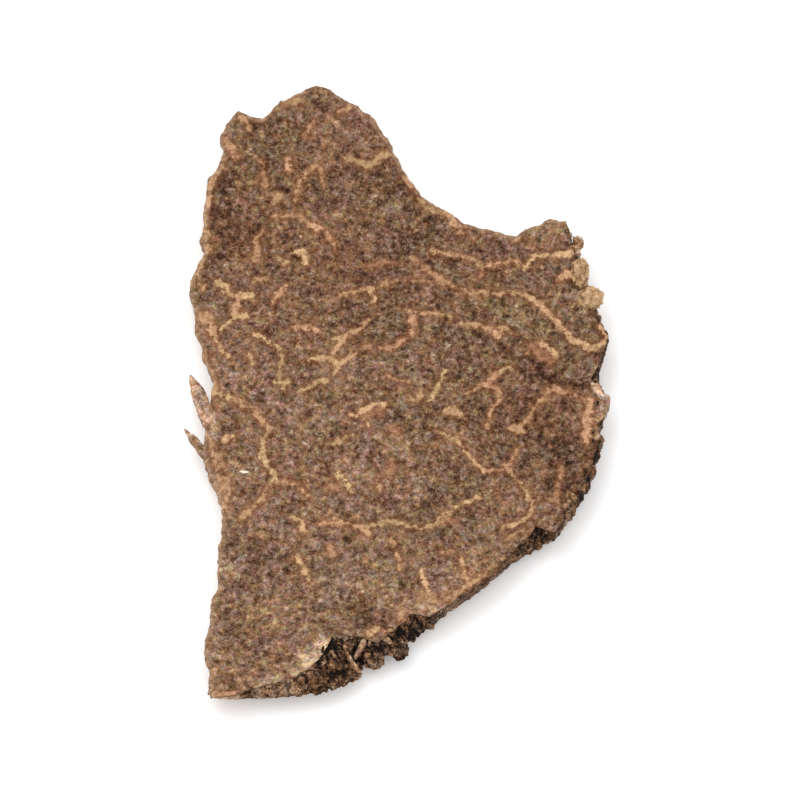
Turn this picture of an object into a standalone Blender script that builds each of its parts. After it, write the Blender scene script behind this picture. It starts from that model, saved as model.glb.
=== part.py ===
"""One freeze-dried slice of black truffle, lying on its flat belly. Metres, +Z up.

The slice is a thin sheet cut through the flesh. Its lower and right sides are the warty rind that grew round the
truffle, and its left and top sides are broken. The sheet is a grid laid between those four sides.
"""

import math

import bmesh
import bpy
import numpy as np
from mathutils import Euler, Vector

MM = 0.001

# Driving dimensions
THICKNESS = 1.6 * MM
WIDTH = 26.3 * MM
LENGTH = 44.0 * MM

# The sides, in pixels of the picture that the slice was drawn from, x to the right and y down
PICTURE_CENTRE = (164.9, 530.4)
PICTURE_WIDTH = 146.0
PICTURE_LENGTH = 212.0
VIEW_ELEVATION = math.radians(60)
LEFT_SIDE = [
    (100.0, 632.5), (99.0, 625.0), (98.3, 616.0), (99.5, 606.0), (100.0, 598.5), (102.3, 595.0),
    (102.6, 586.0), (103.8, 575.0), (103.2, 566.0), (100.0, 559.5), (97.3, 554.0), (96.3, 548.5),
    (97.0, 543.5), (96.0, 538.5), (95.3, 534.0), (94.8, 530.0), (98.6, 528.0), (100.0, 524.5),
    (99.3, 520.5), (97.0, 517.0), (96.5, 512.0), (94.6, 506.5), (94.0, 500.0), (92.4, 494.0),
    (92.6, 489.0), (95.0, 483.5), (97.0, 479.0), (95.8, 475.0), (97.0, 469.0), (96.5, 464.0),
    (98.0, 459.0), (99.0, 452.5), (103.0, 448.5), (104.2, 443.5), (102.8, 439.5), (105.0, 434.5),
]
TOP_SIDE = [
    (105.0, 434.5), (109.0, 430.0), (113.0, 432.3), (117.0, 433.0), (120.5, 430.5), (124.0, 427.0),
    (130.0, 424.0), (136.0, 422.0), (140.5, 422.5), (145.0, 426.0), (150.0, 428.5), (156.0, 433.5),
    (160.5, 440.0), (164.0, 447.0), (168.0, 454.0), (172.0, 459.5), (176.0, 462.3), (182.0, 466.0),
    (187.0, 469.5), (195.0, 471.2), (201.0, 473.2), (205.5, 474.0), (208.5, 471.3), (213.5, 470.0),
    (217.0, 468.0), (222.0, 468.5),
]
# On the two rind sides the third number is how far the underside reaches past the face, in millimetres
LOWER_RIND = [
    (100.0, 632.5, 0.0), (106.0, 632.3, 0.1), (112.0, 630.5, 0.2), (118.0, 629.7, 0.2),
    (123.0, 628.3, 0.3), (128.0, 626.3, 0.6), (133.0, 623.3, 0.9), (137.0, 619.8, 1.2),
    (139.7, 615.5, 1.6), (141.5, 611.7, 2.0), (150.0, 611.0, 1.5), (153.5, 611.8, 1.3),
    (157.5, 614.0, 0.9), (160.5, 611.0, 0.8), (164.0, 608.0, 1.1), (167.0, 606.0, 1.2),
    (168.0, 603.8, 1.1), (172.0, 604.6, 0.7), (175.5, 605.3, 0.1), (180.0, 602.0, -0.2),
    (184.0, 599.0, -0.2), (189.0, 595.7, -0.2), (195.0, 592.0, -0.3), (200.0, 587.5, -0.3),
    (203.0, 583.5, -0.1), (206.5, 580.0, 0.0), (210.0, 577.0, 0.1), (211.5, 574.3, 0.4),
    (215.0, 575.3, 0.3), (218.0, 576.3, 0.2), (221.5, 571.0, 0.2),
]
RIGHT_RIND = [
    (221.5, 571.0, 0.2), (222.5, 567.5, 0.2), (226.0, 563.0, 0.2), (229.0, 558.5, 0.2),
    (231.0, 553.0, 0.1), (233.0, 547.0, 0.0), (234.3, 543.0, 0.0), (233.2, 540.0, 0.2),
    (236.4, 533.0, 0.0), (235.0, 527.0, 0.1), (231.0, 523.0, 0.4), (233.0, 519.0, 0.3),
    (235.0, 514.0, 0.1), (237.0, 508.5, 0.0), (234.0, 504.5, 0.3), (230.5, 499.0, 0.5),
    (229.0, 492.0, 0.4), (227.0, 484.5, 0.3), (225.0, 479.5, 0.3), (223.5, 474.5, 0.3),
    (222.0, 468.5, 0.0),
]

# How the sheet curls up from the table: direction in degrees, where it starts, where it ends and its rise
CURLS = [
    (45, 7.0, 17.0, 1.3),
    (100, 10.0, 22.5, 1.1),
    (245, 11.0, 24.6, 0.8),
    (-10, 6.5, 12.5, 0.5),
    (180, 8.0, 13.0, 0.35),
    (-60, 8.0, 14.0, 0.45),
]
# How the sheet thins towards its broken sides, in the same form
THINNINGS = [
    (245, 8.0, 24.6, 0.8),
    (180, 5.0, 13.0, 0.35),
    (75, 6.0, 20.0, 0.35),
]
# Dips and swells of the face: x and y of the middle in the picture, radius and height
SWELLS = [
    (115, 465, 2.2, -0.24), (143, 485, 2.6, -0.20), (212, 533, 2.8, -0.26), (125, 588, 3.2, -0.22),
    (157, 603, 2.0, -0.18), (150, 450, 2.6, 0.16), (181, 560, 3.6, 0.18), (120, 540, 2.8, 0.14),
    (197, 490, 2.8, 0.12), (158, 520, 3.0, 0.12),
]

# The grid that the sheet is made on
ACROSS = 30
ALONG = 38
SMOOTHING_PASSES = 4
DETAIL_FADE = 9  # higher keeps the notches of a side closer to it

# Warts of the rind
WART_SPACING = 1.05 * MM
WART_RADII = (0.48 * MM, 0.74 * MM)
TALL_WALL = 1.9 * MM  # a wall wider than this has two rows
WART_CLEARANCE = 0.12 * MM  # above the table
WART_SEED = 7

# Small things fused to the edge, in the picture: x, y, then radii across, along and up
CRUMBS = [
    (227.8, 485.8, 0.42, 0.85, 0.45),
    (231.4, 495.8, 0.62, 0.80, 0.55),
    (223.0, 565.2, 0.50, 0.50, 0.45),
]
# Splinters: root and tip in the picture, then the root's radius
SPLINTERS = [
    ((98.6, 542.0), (92.0, 523.4), 0.36),
    ((98.6, 548.0), (90.6, 540.6), 0.26),
]

FLESH_COLOUR = (0.19, 0.115, 0.068, 1.0)
RIND_COLOUR = (0.022, 0.015, 0.011, 1.0)
FLESH_SLOT = 0
RIND_SLOT = 1


def ramps(x, y, table):
    """The sum of smooth rises, each along its own direction."""
    total = np.zeros(np.shape(x))
    for direction, start, end, height in table:
        angle = math.radians(direction)
        reach = (x * math.cos(angle) + y * math.sin(angle)) / MM
        share = np.clip((reach - start) / (end - start), 0, None)
        total = total + height * MM * share**2
    return total


def lift(x, y):
    """How far the underside stands above the table: nothing under the flat belly."""
    return ramps(x, y, CURLS)


def thickness(x, y):
    return THICKNESS - ramps(x, y, THINNINGS)


def swell(x, y):
    total = np.zeros(np.shape(x))
    for picture_x, picture_y, radius, height in SWELLS:
        middle = flat_plan(np.array([picture_x, picture_y], float))
        away = ((x - middle[0]) ** 2 + (y - middle[1]) ** 2) / (radius * MM) ** 2
        total = total + height * MM * np.exp(-away)
    return total


def flat_plan(points):
    """Where points of the picture lie on the table if the face were level."""
    x = (points[..., 0] - PICTURE_CENTRE[0]) / PICTURE_WIDTH * WIDTH
    y = (PICTURE_CENTRE[1] - points[..., 1]) / PICTURE_LENGTH * LENGTH
    return np.stack([x, y], axis=-1)


def plan(points):
    """Where points of the picture lie: seen from VIEW_ELEVATION, a raised edge looks farther back than it is."""
    level = flat_plan(points)
    raised = lift(level[..., 0], level[..., 1]) + thickness(level[..., 0], level[..., 1]) - THICKNESS
    return level - np.stack([np.zeros_like(raised), raised / math.tan(VIEW_ELEVATION)], axis=-1)


def sampled(points, count):
    """A side in count steps that keep every one of its points. The steps left over go to its longest runs."""
    points = np.array(points, float)
    runs = np.hypot(*np.diff(points[:, :2], axis=0).T)
    share = np.concatenate([[0.0], np.cumsum(runs)]) / runs.sum()
    spare = count - (len(points) - 1)
    steps = np.round(np.arange(len(points)) + spare * share)
    return np.stack([np.interp(np.arange(count + 1), steps, column) for column in points.T], axis=1)


def smoothed(side):
    """The side with its notches averaged out, its ends held."""
    for _ in range(SMOOTHING_PASSES):
        inner = (side[:-2] + 2 * side[1:-1] + side[2:]) / 4
        side = np.concatenate([side[:1], inner, side[-1:]])
    return side


def outward(side, turn):
    """Unit vectors out of a side, which runs anticlockwise if turn is 1 and clockwise if it is -1."""
    along = np.gradient(smoothed(side), axis=0)
    normal = np.stack([along[:, 1], -along[:, 0]], axis=1) * turn
    return normal / np.linalg.norm(normal, axis=1, keepdims=True)


def between(left, right, bottom, top):
    """A grid of points between four sides: each side is carried straight across, and the corners counted twice go."""
    u = np.linspace(0, 1, len(bottom))[:, None, None]
    v = np.linspace(0, 1, len(left))[None, :, None]
    carried = (1 - u) * left[None] + u * right[None] + (1 - v) * bottom[:, None] + v * top[:, None]
    lower = (1 - u) * bottom[0] + u * bottom[-1]
    upper = (1 - u) * top[0] + u * top[-1]
    return carried - (1 - v) * lower - v * upper


def laid_grid(left, right, bottom, top):
    """The grid of the smoothed sides, with the notches of each side fading out towards the middle."""
    points = between(*(smoothed(side) for side in (left, right, bottom, top)))
    u = np.linspace(0, 1, len(bottom))[:, None, None]
    v = np.linspace(0, 1, len(left))[None, :, None]
    points = points + (1 - u) ** DETAIL_FADE * (left - smoothed(left))[None]
    points = points + u**DETAIL_FADE * (right - smoothed(right))[None]
    points = points + (1 - v) ** DETAIL_FADE * (bottom - smoothed(bottom))[:, None]
    return points + v**DETAIL_FADE * (top - smoothed(top))[:, None]


def sides():
    """The four sides of the face and the four of the underside, left, right, bottom and top, in plan."""
    left = plan(sampled(LEFT_SIDE, ALONG))
    top = plan(sampled(TOP_SIDE, ACROSS))
    right_rind = sampled(RIGHT_RIND, ALONG)
    lower_rind = sampled(LOWER_RIND, ACROSS)
    right = plan(right_rind[:, :2])
    bottom = plan(lower_rind[:, :2])
    under_right = smoothed(right) + outward(right, 1) * smoothed(right_rind[:, 2:]) * MM
    under_bottom = smoothed(bottom) + outward(bottom, 1) * smoothed(lower_rind[:, 2:]) * MM
    corner = (under_right[0] + under_bottom[-1]) / 2
    under_right[0] = corner
    under_bottom[-1] = corner
    return (left, right, bottom, top), (left, under_right, under_bottom, top)


def material(name, colour, roughness):
    made = bpy.data.materials.new(name)
    made.use_nodes = True
    shader = made.node_tree.nodes["Principled BSDF"]
    shader.inputs["Base Color"].default_value = colour
    shader.inputs["Roughness"].default_value = roughness
    shader.inputs["Metallic"].default_value = 0.0
    return made


def sheet(name, collection, materials):
    """The slice without its warts: the face and the underside on one grid, joined by a wall."""
    mesh = bpy.data.meshes.new(name)
    bm = bmesh.new()
    bmesh.ops.create_grid(bm, x_segments=ACROSS, y_segments=ALONG, size=1.0)
    column = bm.verts.layers.int.new("column")
    row = bm.verts.layers.int.new("row")
    for vert in bm.verts:
        vert[column] = round((vert.co.x + 1) / 2 * ACROSS)
        vert[row] = round((vert.co.y + 1) / 2 * ALONG)
    underside = set(bm.verts)
    bmesh.ops.extrude_face_region(bm, geom=bm.faces[:])
    face_sides, under_sides = sides()
    face = laid_grid(*face_sides)
    under = laid_grid(*under_sides)
    for vert in bm.verts:
        if vert in underside:
            x, y = under[vert[column], vert[row]]
            z = lift(x, y)
        else:
            x, y = face[vert[column], vert[row]]
            z = lift(x, y) + thickness(x, y) + swell(x, y)
        vert.co = (x, y, z)
    for wall in bm.faces:
        places = [(vert[column], vert[row]) for vert in wall.verts]
        lowest = max(place[1] for place in places) == 0
        rightmost = min(place[0] for place in places) == ACROSS
        wall.material_index = RIND_SLOT if lowest or rightmost else FLESH_SLOT
    bmesh.ops.recalc_face_normals(bm, faces=bm.faces[:])
    bm.to_mesh(mesh)
    bm.free()
    slice_object = bpy.data.objects.new(name, mesh)
    for made in materials:
        mesh.materials.append(made)
    collection.objects.link(slice_object)
    return slice_object


def wart_places():
    """Middle, radius and turn of each wart, along the wall of the two rind sides."""
    random = np.random.default_rng(WART_SEED)
    face_sides, under_sides = sides()
    places = []
    for upper, lower in ((face_sides[2], under_sides[2]), (face_sides[1], under_sides[1])):
        upper_z = lift(*upper.T) + thickness(*upper.T) + swell(*upper.T)
        lower_z = lift(*lower.T)
        upper = np.column_stack([upper, upper_z])
        lower = np.column_stack([lower, lower_z])
        run = np.concatenate([[0.0], np.cumsum(np.linalg.norm(np.diff(upper, axis=0), axis=1))])
        for stop in np.arange(WART_SPACING, run[-1] - WART_SPACING / 2, WART_SPACING):
            edge = np.array([np.interp(stop, run, axis) for axis in upper.T])
            foot = np.array([np.interp(stop, run, axis) for axis in lower.T])
            tall = np.linalg.norm(edge - foot) > TALL_WALL
            for share in (0.3, 0.8) if tall else (0.55,):
                shift = random.uniform(-0.12, 0.12)
                radius = random.uniform(*WART_RADII)
                middle = edge + (foot - edge) * (share + shift)
                middle[2] = max(middle[2], radius + WART_CLEARANCE)
                middle[2] = min(middle[2], edge[2] - radius / 2)
                turn = random.uniform(0, 2 * math.pi, 3)
                places.append((middle, radius, turn))
    return places


def lump(name, collection, materials, slot, middle, radii, turn=(0.0, 0.0, 0.0)):
    """A faceted lump that is joined to the slice."""
    mesh = bpy.data.meshes.new(name)
    bm = bmesh.new()
    bmesh.ops.create_icosphere(bm, subdivisions=2, radius=1.0)
    bmesh.ops.scale(bm, vec=radii, verts=bm.verts[:])
    bmesh.ops.rotate(bm, matrix=Euler(turn).to_matrix(), verts=bm.verts[:])
    bmesh.ops.translate(bm, vec=Vector(middle), verts=bm.verts[:])
    for facet in bm.faces:
        facet.material_index = slot
    bm.to_mesh(mesh)
    bm.free()
    return guide(name, collection, materials, mesh)


def splinter(name, collection, materials, root, tip, radius):
    """A thin sliver torn half loose, as a flattened cone from its root to its tip."""
    mesh = bpy.data.meshes.new(name)
    bm = bmesh.new()
    way = Vector(tip) - Vector(root)
    bmesh.ops.create_cone(
        bm, cap_ends=True, segments=6, radius1=radius, radius2=radius / 4, depth=way.length
    )
    turn = way.to_track_quat("Z", "Y").to_matrix()
    bmesh.ops.rotate(bm, matrix=turn, verts=bm.verts[:])
    bmesh.ops.translate(bm, vec=(Vector(root) + Vector(tip)) / 2, verts=bm.verts[:])
    bm.to_mesh(mesh)
    bm.free()
    return guide(name, collection, materials, mesh)


def guide(name, collection, materials, mesh):
    """An object that only shapes the slice."""
    made = bpy.data.objects.new(name, mesh)
    for slot_material in materials:
        mesh.materials.append(slot_material)
    made.hide_render = True
    made.display_type = "WIRE"
    collection.objects.link(made)
    return made


def on_face(picture_x, picture_y, depth):
    """A point that far under the face, where the picture shows it."""
    x, y = plan(np.array([picture_x, picture_y], float))
    return (x, y, lift(x, y) + thickness(x, y) + swell(x, y) - depth)


def main():
    for old in list(bpy.data.objects):
        bpy.data.objects.remove(old)
    truffle = bpy.data.collections.new("truffle")
    additions = bpy.data.collections.new("additions")
    bpy.context.scene.collection.children.link(truffle)
    bpy.context.scene.collection.children.link(additions)
    materials = [
        material("dried_flesh", FLESH_COLOUR, 0.9),
        material("black_rind", RIND_COLOUR, 0.6),
    ]
    slice_object = sheet("truffle_slice", truffle, materials)
    for number, (middle, radius, turn) in enumerate(wart_places()):
        radii = (radius, radius * 0.85, radius * 0.7)
        lump(f"wart_{number:02d}", additions, materials, RIND_SLOT, middle, radii, turn)
    for number, (picture_x, picture_y, *radii) in enumerate(CRUMBS):
        middle = on_face(picture_x, picture_y, radii[2] / 2 * MM)
        radii = tuple(radius * MM for radius in radii)
        lump(f"crumb_{number}", additions, materials, FLESH_SLOT, middle, radii)
    for number, (root, tip, radius) in enumerate(SPLINTERS):
        depth = 2 * radius * MM
        ends = on_face(*root, depth), on_face(*tip, depth)
        splinter(f"splinter_{number}", additions, materials, *ends, radius * MM)
    joined = slice_object.modifiers.new("additions", "BOOLEAN")
    joined.operation = "UNION"
    joined.solver = "EXACT"
    joined.operand_type = "COLLECTION"
    joined.collection = additions
    slice_object.data.shade_smooth()
    slice_object.data.set_sharp_from_angle(angle=math.radians(40))


main()
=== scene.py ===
import itertools
import math

import bpy
import numpy as np
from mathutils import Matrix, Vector


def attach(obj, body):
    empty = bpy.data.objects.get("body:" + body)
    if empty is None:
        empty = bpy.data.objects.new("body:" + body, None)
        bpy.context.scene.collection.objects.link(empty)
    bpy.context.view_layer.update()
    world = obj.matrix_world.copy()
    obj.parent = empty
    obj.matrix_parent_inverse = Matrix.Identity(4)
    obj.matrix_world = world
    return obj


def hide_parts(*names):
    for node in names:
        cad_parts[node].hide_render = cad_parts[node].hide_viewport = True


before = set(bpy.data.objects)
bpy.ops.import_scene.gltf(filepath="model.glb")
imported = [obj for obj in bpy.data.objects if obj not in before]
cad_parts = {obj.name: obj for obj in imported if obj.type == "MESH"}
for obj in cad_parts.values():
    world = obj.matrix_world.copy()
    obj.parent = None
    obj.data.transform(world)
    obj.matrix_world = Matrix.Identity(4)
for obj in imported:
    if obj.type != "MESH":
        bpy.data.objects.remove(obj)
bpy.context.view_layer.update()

mm = 0.001

# Where places are read from: the slice's middle and size in the picture, in pixels with x to the right and
# y down, its real size, the view's height over the table, and how much larger the slice stands in the render
picture = {
    "centre": (164.9, 530.4),
    "width": 146.0,
    "length": 212.0,
    "realWidth": 26.3 * mm,
    "realLength": 44.0 * mm,
    "viewElevation": math.radians(60),
    "scale": 2.9,
    "renderWidth": 800,
}

# The broken sides of the slice in the picture
leftSide = [
    (100, 632.5), (99, 625), (98.3, 616), (99.5, 606), (100, 598.5), (102.3, 595), (102.6, 586),
    (103.9, 575), (103.9, 566), (101, 559.2), (98.3, 553.6), (96.8, 548.5), (97, 544.5), (97.6, 540.5),
    (98.4, 536.5), (99.2, 532.5), (99.8, 529), (100.3, 525.5), (99.3, 520.5), (97, 517), (96.5, 512),
    (94.6, 506.5), (94, 500), (92.4, 494), (92.6, 489), (95, 483.5), (97, 479), (95.8, 475), (97, 469),
    (96.5, 464), (98, 459), (99, 452.5), (103, 448.5), (104.2, 443.5), (102.8, 439.5), (104.6, 434),
]
topSide = [
    (104.6, 434), (108.8, 429.4), (113, 431.6), (117, 432), (120.1, 429.7), (123.5, 425.8), (129.6, 422.6),
    (135.9, 420.6), (140.9, 421.4), (145.9, 424.6), (150.8, 427.2), (156.2, 433.2), (160.6, 439.9),
    (164, 447), (168.1, 453.9), (172.4, 459), (176.3, 461.7), (182.3, 465.4), (187.1, 469.2), (195.2, 470.4),
    (201.1, 472), (205.3, 473.5), (208.3, 470.7), (213.4, 469.7), (216.9, 467.5), (222.4, 467.8),
]
# The rind's sides: third, how far the underside reaches past the face in millimetres, and fourth, how high
# the warts stand, from 0 to 1
lowerRind = [
    (100, 632.5, 0.1, 0.1), (106, 632.3, 0.3, 0.1), (112, 630.5, 0.6, 0.14), (118, 629, 0.7, 0.12),
    (123, 627.6, 0.9, 0.12), (128, 625.6, 1.7, 0.2), (133, 622.6, 2.3, 0.5), (137, 619.2, 2.5, 0.8),
    (139.7, 615.2, 2.6, 0.95), (141.5, 611.7, 2.8, 1), (147, 611, 1.6, 1), (150.6, 611.2, 0.8, 0.9),
    (157.5, 614, 0.7, 0.85), (160.5, 611, 0.9, 0.7), (164, 608, 1.2, 0.75), (167, 606, 1.5, 0.75),
    (168, 603.8, 1.1, 0.65), (172, 604.6, 0.7, 0.5), (175.5, 605.3, 0.1, 0.35), (180, 602, 0, 0.2),
    (184, 599, 0, 0.15), (189, 595.7, 0.3, 0.15), (195, 592, 0.4, 0.15), (200, 587.5, 0, 0.15),
    (203, 583.5, -0.1, 0.2), (206.5, 580, 0.3, 0.35), (210, 577, 0.6, 0.45), (211.5, 574.3, 0.8, 0.5),
    (215, 575.3, 0.7, 0.45), (218, 576.3, 0.2, 0.35), (221.5, 571, 0.15, 0.45),
]
rightRind = [
    (221.5, 571, 0.15, 0.45), (222.5, 567.5, 0.1, 0.6), (226, 563, 0.05, 0.65), (229, 558.5, 0.05, 0.65),
    (231, 553, 0, 0.6), (233, 547, -0.1, 0.5), (234.3, 543, -0.05, 0.4), (233.2, 540, 0.2, 0.3),
    (236.4, 533, 0, 0.2), (235, 527, 0.1, 0.3), (231, 523, 0.4, 0.45), (233, 519, 0.3, 0.35),
    (235, 514, 0.1, 0.25), (237, 508.5, 0, 0.2), (234, 504.5, 0.3, 0.45), (230.5, 499, 0.5, 0.6),
    (229, 492, 0.4, 0.5), (227, 484.5, 0.3, 0.5), (225, 479.5, 0.3, 0.7), (223.5, 474.5, 0.3, 0.65),
    (222.4, 467.8, 0, 0.4),
]

# The sheet of dried flesh
sheet = {
    "thickness": 1.6 * mm,
    # direction in degrees, where it starts, where it ends and the rise there, in millimetres
    "curls": [
        (45, 7.0, 17.0, 1.3), (100, 10.0, 22.5, 1.1), (245, 11.0, 24.6, 0.8),
        (-10, 6.5, 12.5, 0.5), (180, 8.0, 13.0, 0.35), (-60, 8.0, 14.0, 0.45),
    ],
    "thinnings": [(245, 8.0, 24.6, 0.8), (180, 5.0, 13.0, 0.35), (75, 6.0, 20.0, 0.35)],
    # x and y in the picture, radius and height in millimetres
    "swells": [
        (115, 465, 2.2, -0.24), (143, 485, 2.6, -0.20), (212, 533, 2.8, -0.26), (125, 588, 3.2, -0.22),
        (157, 603, 2.0, -0.18), (150, 450, 2.6, 0.16), (181, 560, 3.6, 0.18), (120, 540, 2.8, 0.14),
        (197, 490, 2.8, 0.12), (158, 520, 3.0, 0.12),
    ],
    "across": 216,
    "along": 320,
    "wallRows": 9,
    "smoothing": 1.6 * mm,  # how far the notches of a side are averaged out under the grid
    "detailFade": 9,
    "jag": 0.15 * mm,
    "jagSize": 1.3 * mm,
    "lean": 0.22 * mm,  # how far the torn sides lean in under the face
    "tuck": 0.6 * mm,  # how far the foot draws in under a side whose warts stand low
    "underInset": 0.2 * mm,  # how far the underside stays behind the rind
    "domeSize": 0.42 * mm,
    "lumpSize": 1.6 * mm,
    "fineSize": 0.28 * mm,
    "grains": (0.9, 0.45, 0.5),  # how much domes, lumps and fine grain count
    "grainHeight": 0.055 * mm,
    "veinHeight": 0.045 * mm,
    "crackDepth": 0.12 * mm,
    "veinWidth": 0.95,
    "wanders": (0.12 * mm, 0.9 * mm),  # how far the lines stray on the face and on the underside
    "wanderSize": 0.9 * mm,
    "rimDrop": 0.12 * mm,  # the torn rim crumbles down by this
    "rimWidth": 0.32,
    "wallRoughness": 0.13 * mm,
    "wallGrain": 0.9 * mm,
    "wallInset": 0.22 * mm,  # how far the wall draws in behind the rind
}


def scattered(cell, seed):
    # a number from 0 to 1 for each whole-number cell: its coordinates times large primes, with the bits mixed
    primes = (374761393, 668265263, 362437, 1442695041)
    whole = 0xFFFFFFFF
    keys = (*np.moveaxis(cell.astype(np.int64), -1, 0), seed)
    mixed = sum(key * prime for key, prime in zip(keys, primes)) & whole
    for shift, prime in ((13, 1274126177), (16, 668265263), (15, 1)):
        mixed = ((mixed ^ (mixed >> shift)) * prime) & whole
    return mixed / whole


def softNoise(points, size, seed):
    # from -1 to 1: the numbers of a cell's eight corners, blended by 6t^5 - 15t^4 + 10t^3 of the place in it
    scaled = points / size
    cell = np.floor(scaled)
    part = scaled - cell
    part = part**3 * (part * (6 * part - 15) + 10)
    total = np.zeros(points.shape[:-1])
    for corner in itertools.product((0, 1), repeat=3):
        corner = np.array(corner)
        weight = np.prod(np.where(corner == 1, part, 1 - part), axis=-1)
        total = total + weight * scattered(cell + corner, seed)
    return total * 2 - 1


def layeredNoise(points, size, seed, layers=4, fall=0.55):
    # soft noise at a size, at half of it and so on, each layer lower by fall
    total = np.zeros(points.shape[:-1])
    for layer in range(layers):
        total = total + fall**layer * softNoise(points, size / 2**layer, seed + layer)
    return total


def cellNoise(points, size, seed):
    # distance to the nearest and to the second nearest of the seeds, one placed at random in each cell, and a
    # number from 0 to 1 that belongs to the nearest
    scaled = points / size
    cell = np.floor(scaled)
    nearest = np.full(points.shape[:-1], np.inf)
    second = nearest.copy()
    own = np.zeros(nearest.shape)
    for step in itertools.product((-1, 0, 1), repeat=3):
        corner = cell + step
        spot = np.stack([scattered(corner, seed + axis) for axis in range(3)], axis=-1)
        away = np.linalg.norm(corner + spot - scaled, axis=-1)
        second = np.minimum(second, np.maximum(nearest, away))
        own = np.where(away < nearest, scattered(corner, seed + 7), own)
        nearest = np.minimum(nearest, away)
    return nearest, second, own


def smoothStep(value, low, high):
    # 0 below low, 1 above high, and 3t^2 - 2t^3 between
    share = np.clip((value - low) / (high - low), 0, 1)
    return share * share * (3 - 2 * share)


def weighted(shares, parts, start=0.0):
    # start + share * part + share * part and so on
    for share, part in zip(shares, parts):
        start = start + share * part
    return start


def onLevel(places, height):
    # places of the plan with a height of their own, for the noises
    return np.concatenate([places, np.full(places.shape[:-1] + (1,), height)], axis=-1)


def ramps(x, y, table):
    # the sum of rises height * share^2, where share grows along each one's own direction
    total = np.zeros(np.shape(x))
    for direction, start, end, height in table:
        angle = math.radians(direction)
        reach = (x * math.cos(angle) + y * math.sin(angle)) / mm
        share = np.clip((reach - start) / (end - start), 0, None)
        total = total + height * mm * share**2
    return total


def bells(places, table, laid):
    # the sum of height * exp(-(away / radius)^2) round places of the picture laid on the plan
    total = np.zeros(places.shape[:-1])
    for pictureX, pictureY, radius, height in table:
        away = np.sum((places - laid(np.array([pictureX, pictureY], float))) ** 2, axis=-1)
        total = total + height * np.exp(-away / (radius * mm) ** 2)
    return total


def lift(x, y):
    # how far the underside stands above the table
    return ramps(x, y, sheet["curls"])


def thickness(x, y):
    # the sheet's thickness less its thinnings
    return sheet["thickness"] - ramps(x, y, sheet["thinnings"])


def faceHeight(x, y):
    # lift + thickness + swells
    swell = bells(np.stack([x, y], axis=-1), sheet["swells"], flatPlan) * mm
    return lift(x, y) + thickness(x, y) + swell


def flatPlan(points):
    # where points of the picture lie if the face were level
    x = (points[..., 0] - picture["centre"][0]) / picture["width"] * picture["realWidth"]
    y = (picture["centre"][1] - points[..., 1]) / picture["length"] * picture["realLength"]
    return np.stack([x, y], axis=-1)


def setBack(rise):
    # how much farther back a raised place looks in the picture: rise / tan(view elevation)
    return rise / math.tan(picture["viewElevation"])


def plan(points):
    # where points of the picture lie: their place on a level face, less how far back its rise sets them
    level = flatPlan(points)
    x, y = level[..., 0], level[..., 1]
    raised = lift(x, y) + thickness(x, y) - sheet["thickness"]
    return level - np.stack([0 * raised, setBack(raised)], axis=-1)


def sampled(points, count):
    # a side in count steps that keep every one of its points, with the steps left over on its longest runs
    points = np.array(points, float)
    runs = np.hypot(*np.diff(points[:, :2], axis=0).T)
    share = np.concatenate([[0.0], np.cumsum(runs)]) / runs.sum()
    spare = count - (len(points) - 1)
    steps = np.round(np.arange(len(points)) + spare * share)
    return np.stack([np.interp(np.arange(count + 1), steps, column) for column in points.T], axis=1)


def averaged(side, passes):
    # each point becomes a quarter of its neighbours and half of itself, passes times, and the ends are held
    for _ in range(passes):
        inner = (side[:-2] + 2 * side[1:-1] + side[2:]) / 4
        side = np.concatenate([side[:1], inner, side[-1:]])
    return side


def passesFor(side, reach):
    # passes spread a point over sqrt(passes / 2) steps, so this many spread it over the reach
    step = np.linalg.norm(np.diff(side[:, :2], axis=0), axis=1).mean()
    return round(2 * (reach / step) ** 2)


def smoothed(side, reach=sheet["smoothing"]):
    # the side averaged until each point is spread over the reach
    return averaged(side, passesFor(side, reach))


def besides(side):
    # unit vectors to the right of a side's run: its way turned by a right angle
    along = np.gradient(side, axis=0)
    normal = np.stack([along[:, 1], -along[:, 0]], axis=1)
    return normal / np.linalg.norm(normal, axis=1, keepdims=True)


def outward(side, reach=sheet["smoothing"]):
    # out of a side that runs anticlockwise round the slice
    return besides(smoothed(side, reach))


def between(left, right, bottom, top):
    # the sum of the two ways across a patch less its corners: (1-u)L + uR + (1-v)B + vT - corners
    u = np.linspace(0, 1, len(bottom))[:, None, None]
    v = np.linspace(0, 1, len(left))[None, :, None]
    carried = (1 - u) * left[None] + u * right[None] + (1 - v) * bottom[:, None] + v * top[:, None]
    lower = (1 - u) * bottom[0] + u * bottom[-1]
    upper = (1 - u) * top[0] + u * top[-1]
    return carried - (1 - v) * lower - v * upper


def laidGrid(left, right, bottom, top):
    # the patch between smoothed sides, plus each side's notches times (1-u)^fade and so on
    points = between(*(smoothed(side) for side in (left, right, bottom, top)))
    u = np.linspace(0, 1, len(bottom))[:, None, None]
    v = np.linspace(0, 1, len(left))[None, :, None]
    fade = sheet["detailFade"]
    points = points + (1 - u) ** fade * (left - smoothed(left))[None]
    points = points + u**fade * (right - smoothed(right))[None]
    points = points + (1 - v) ** fade * (bottom - smoothed(bottom))[:, None]
    return points + v**fade * (top - smoothed(top))[:, None]


def jagged(side, turn, amount, seed, inset=0.0):
    # the side pushed out by amount * layered noise - inset, which dies away over its two ends
    ends = np.minimum(np.arange(len(side)), np.arange(len(side))[::-1])
    window = smoothStep(ends, low=0, high=6)
    rough = layeredNoise(onLevel(side, height=0.37 * mm), sheet["jagSize"], seed, fall=0.6)
    return side + outward(side) * turn * (window * (amount * rough - inset))[:, None]


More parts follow.
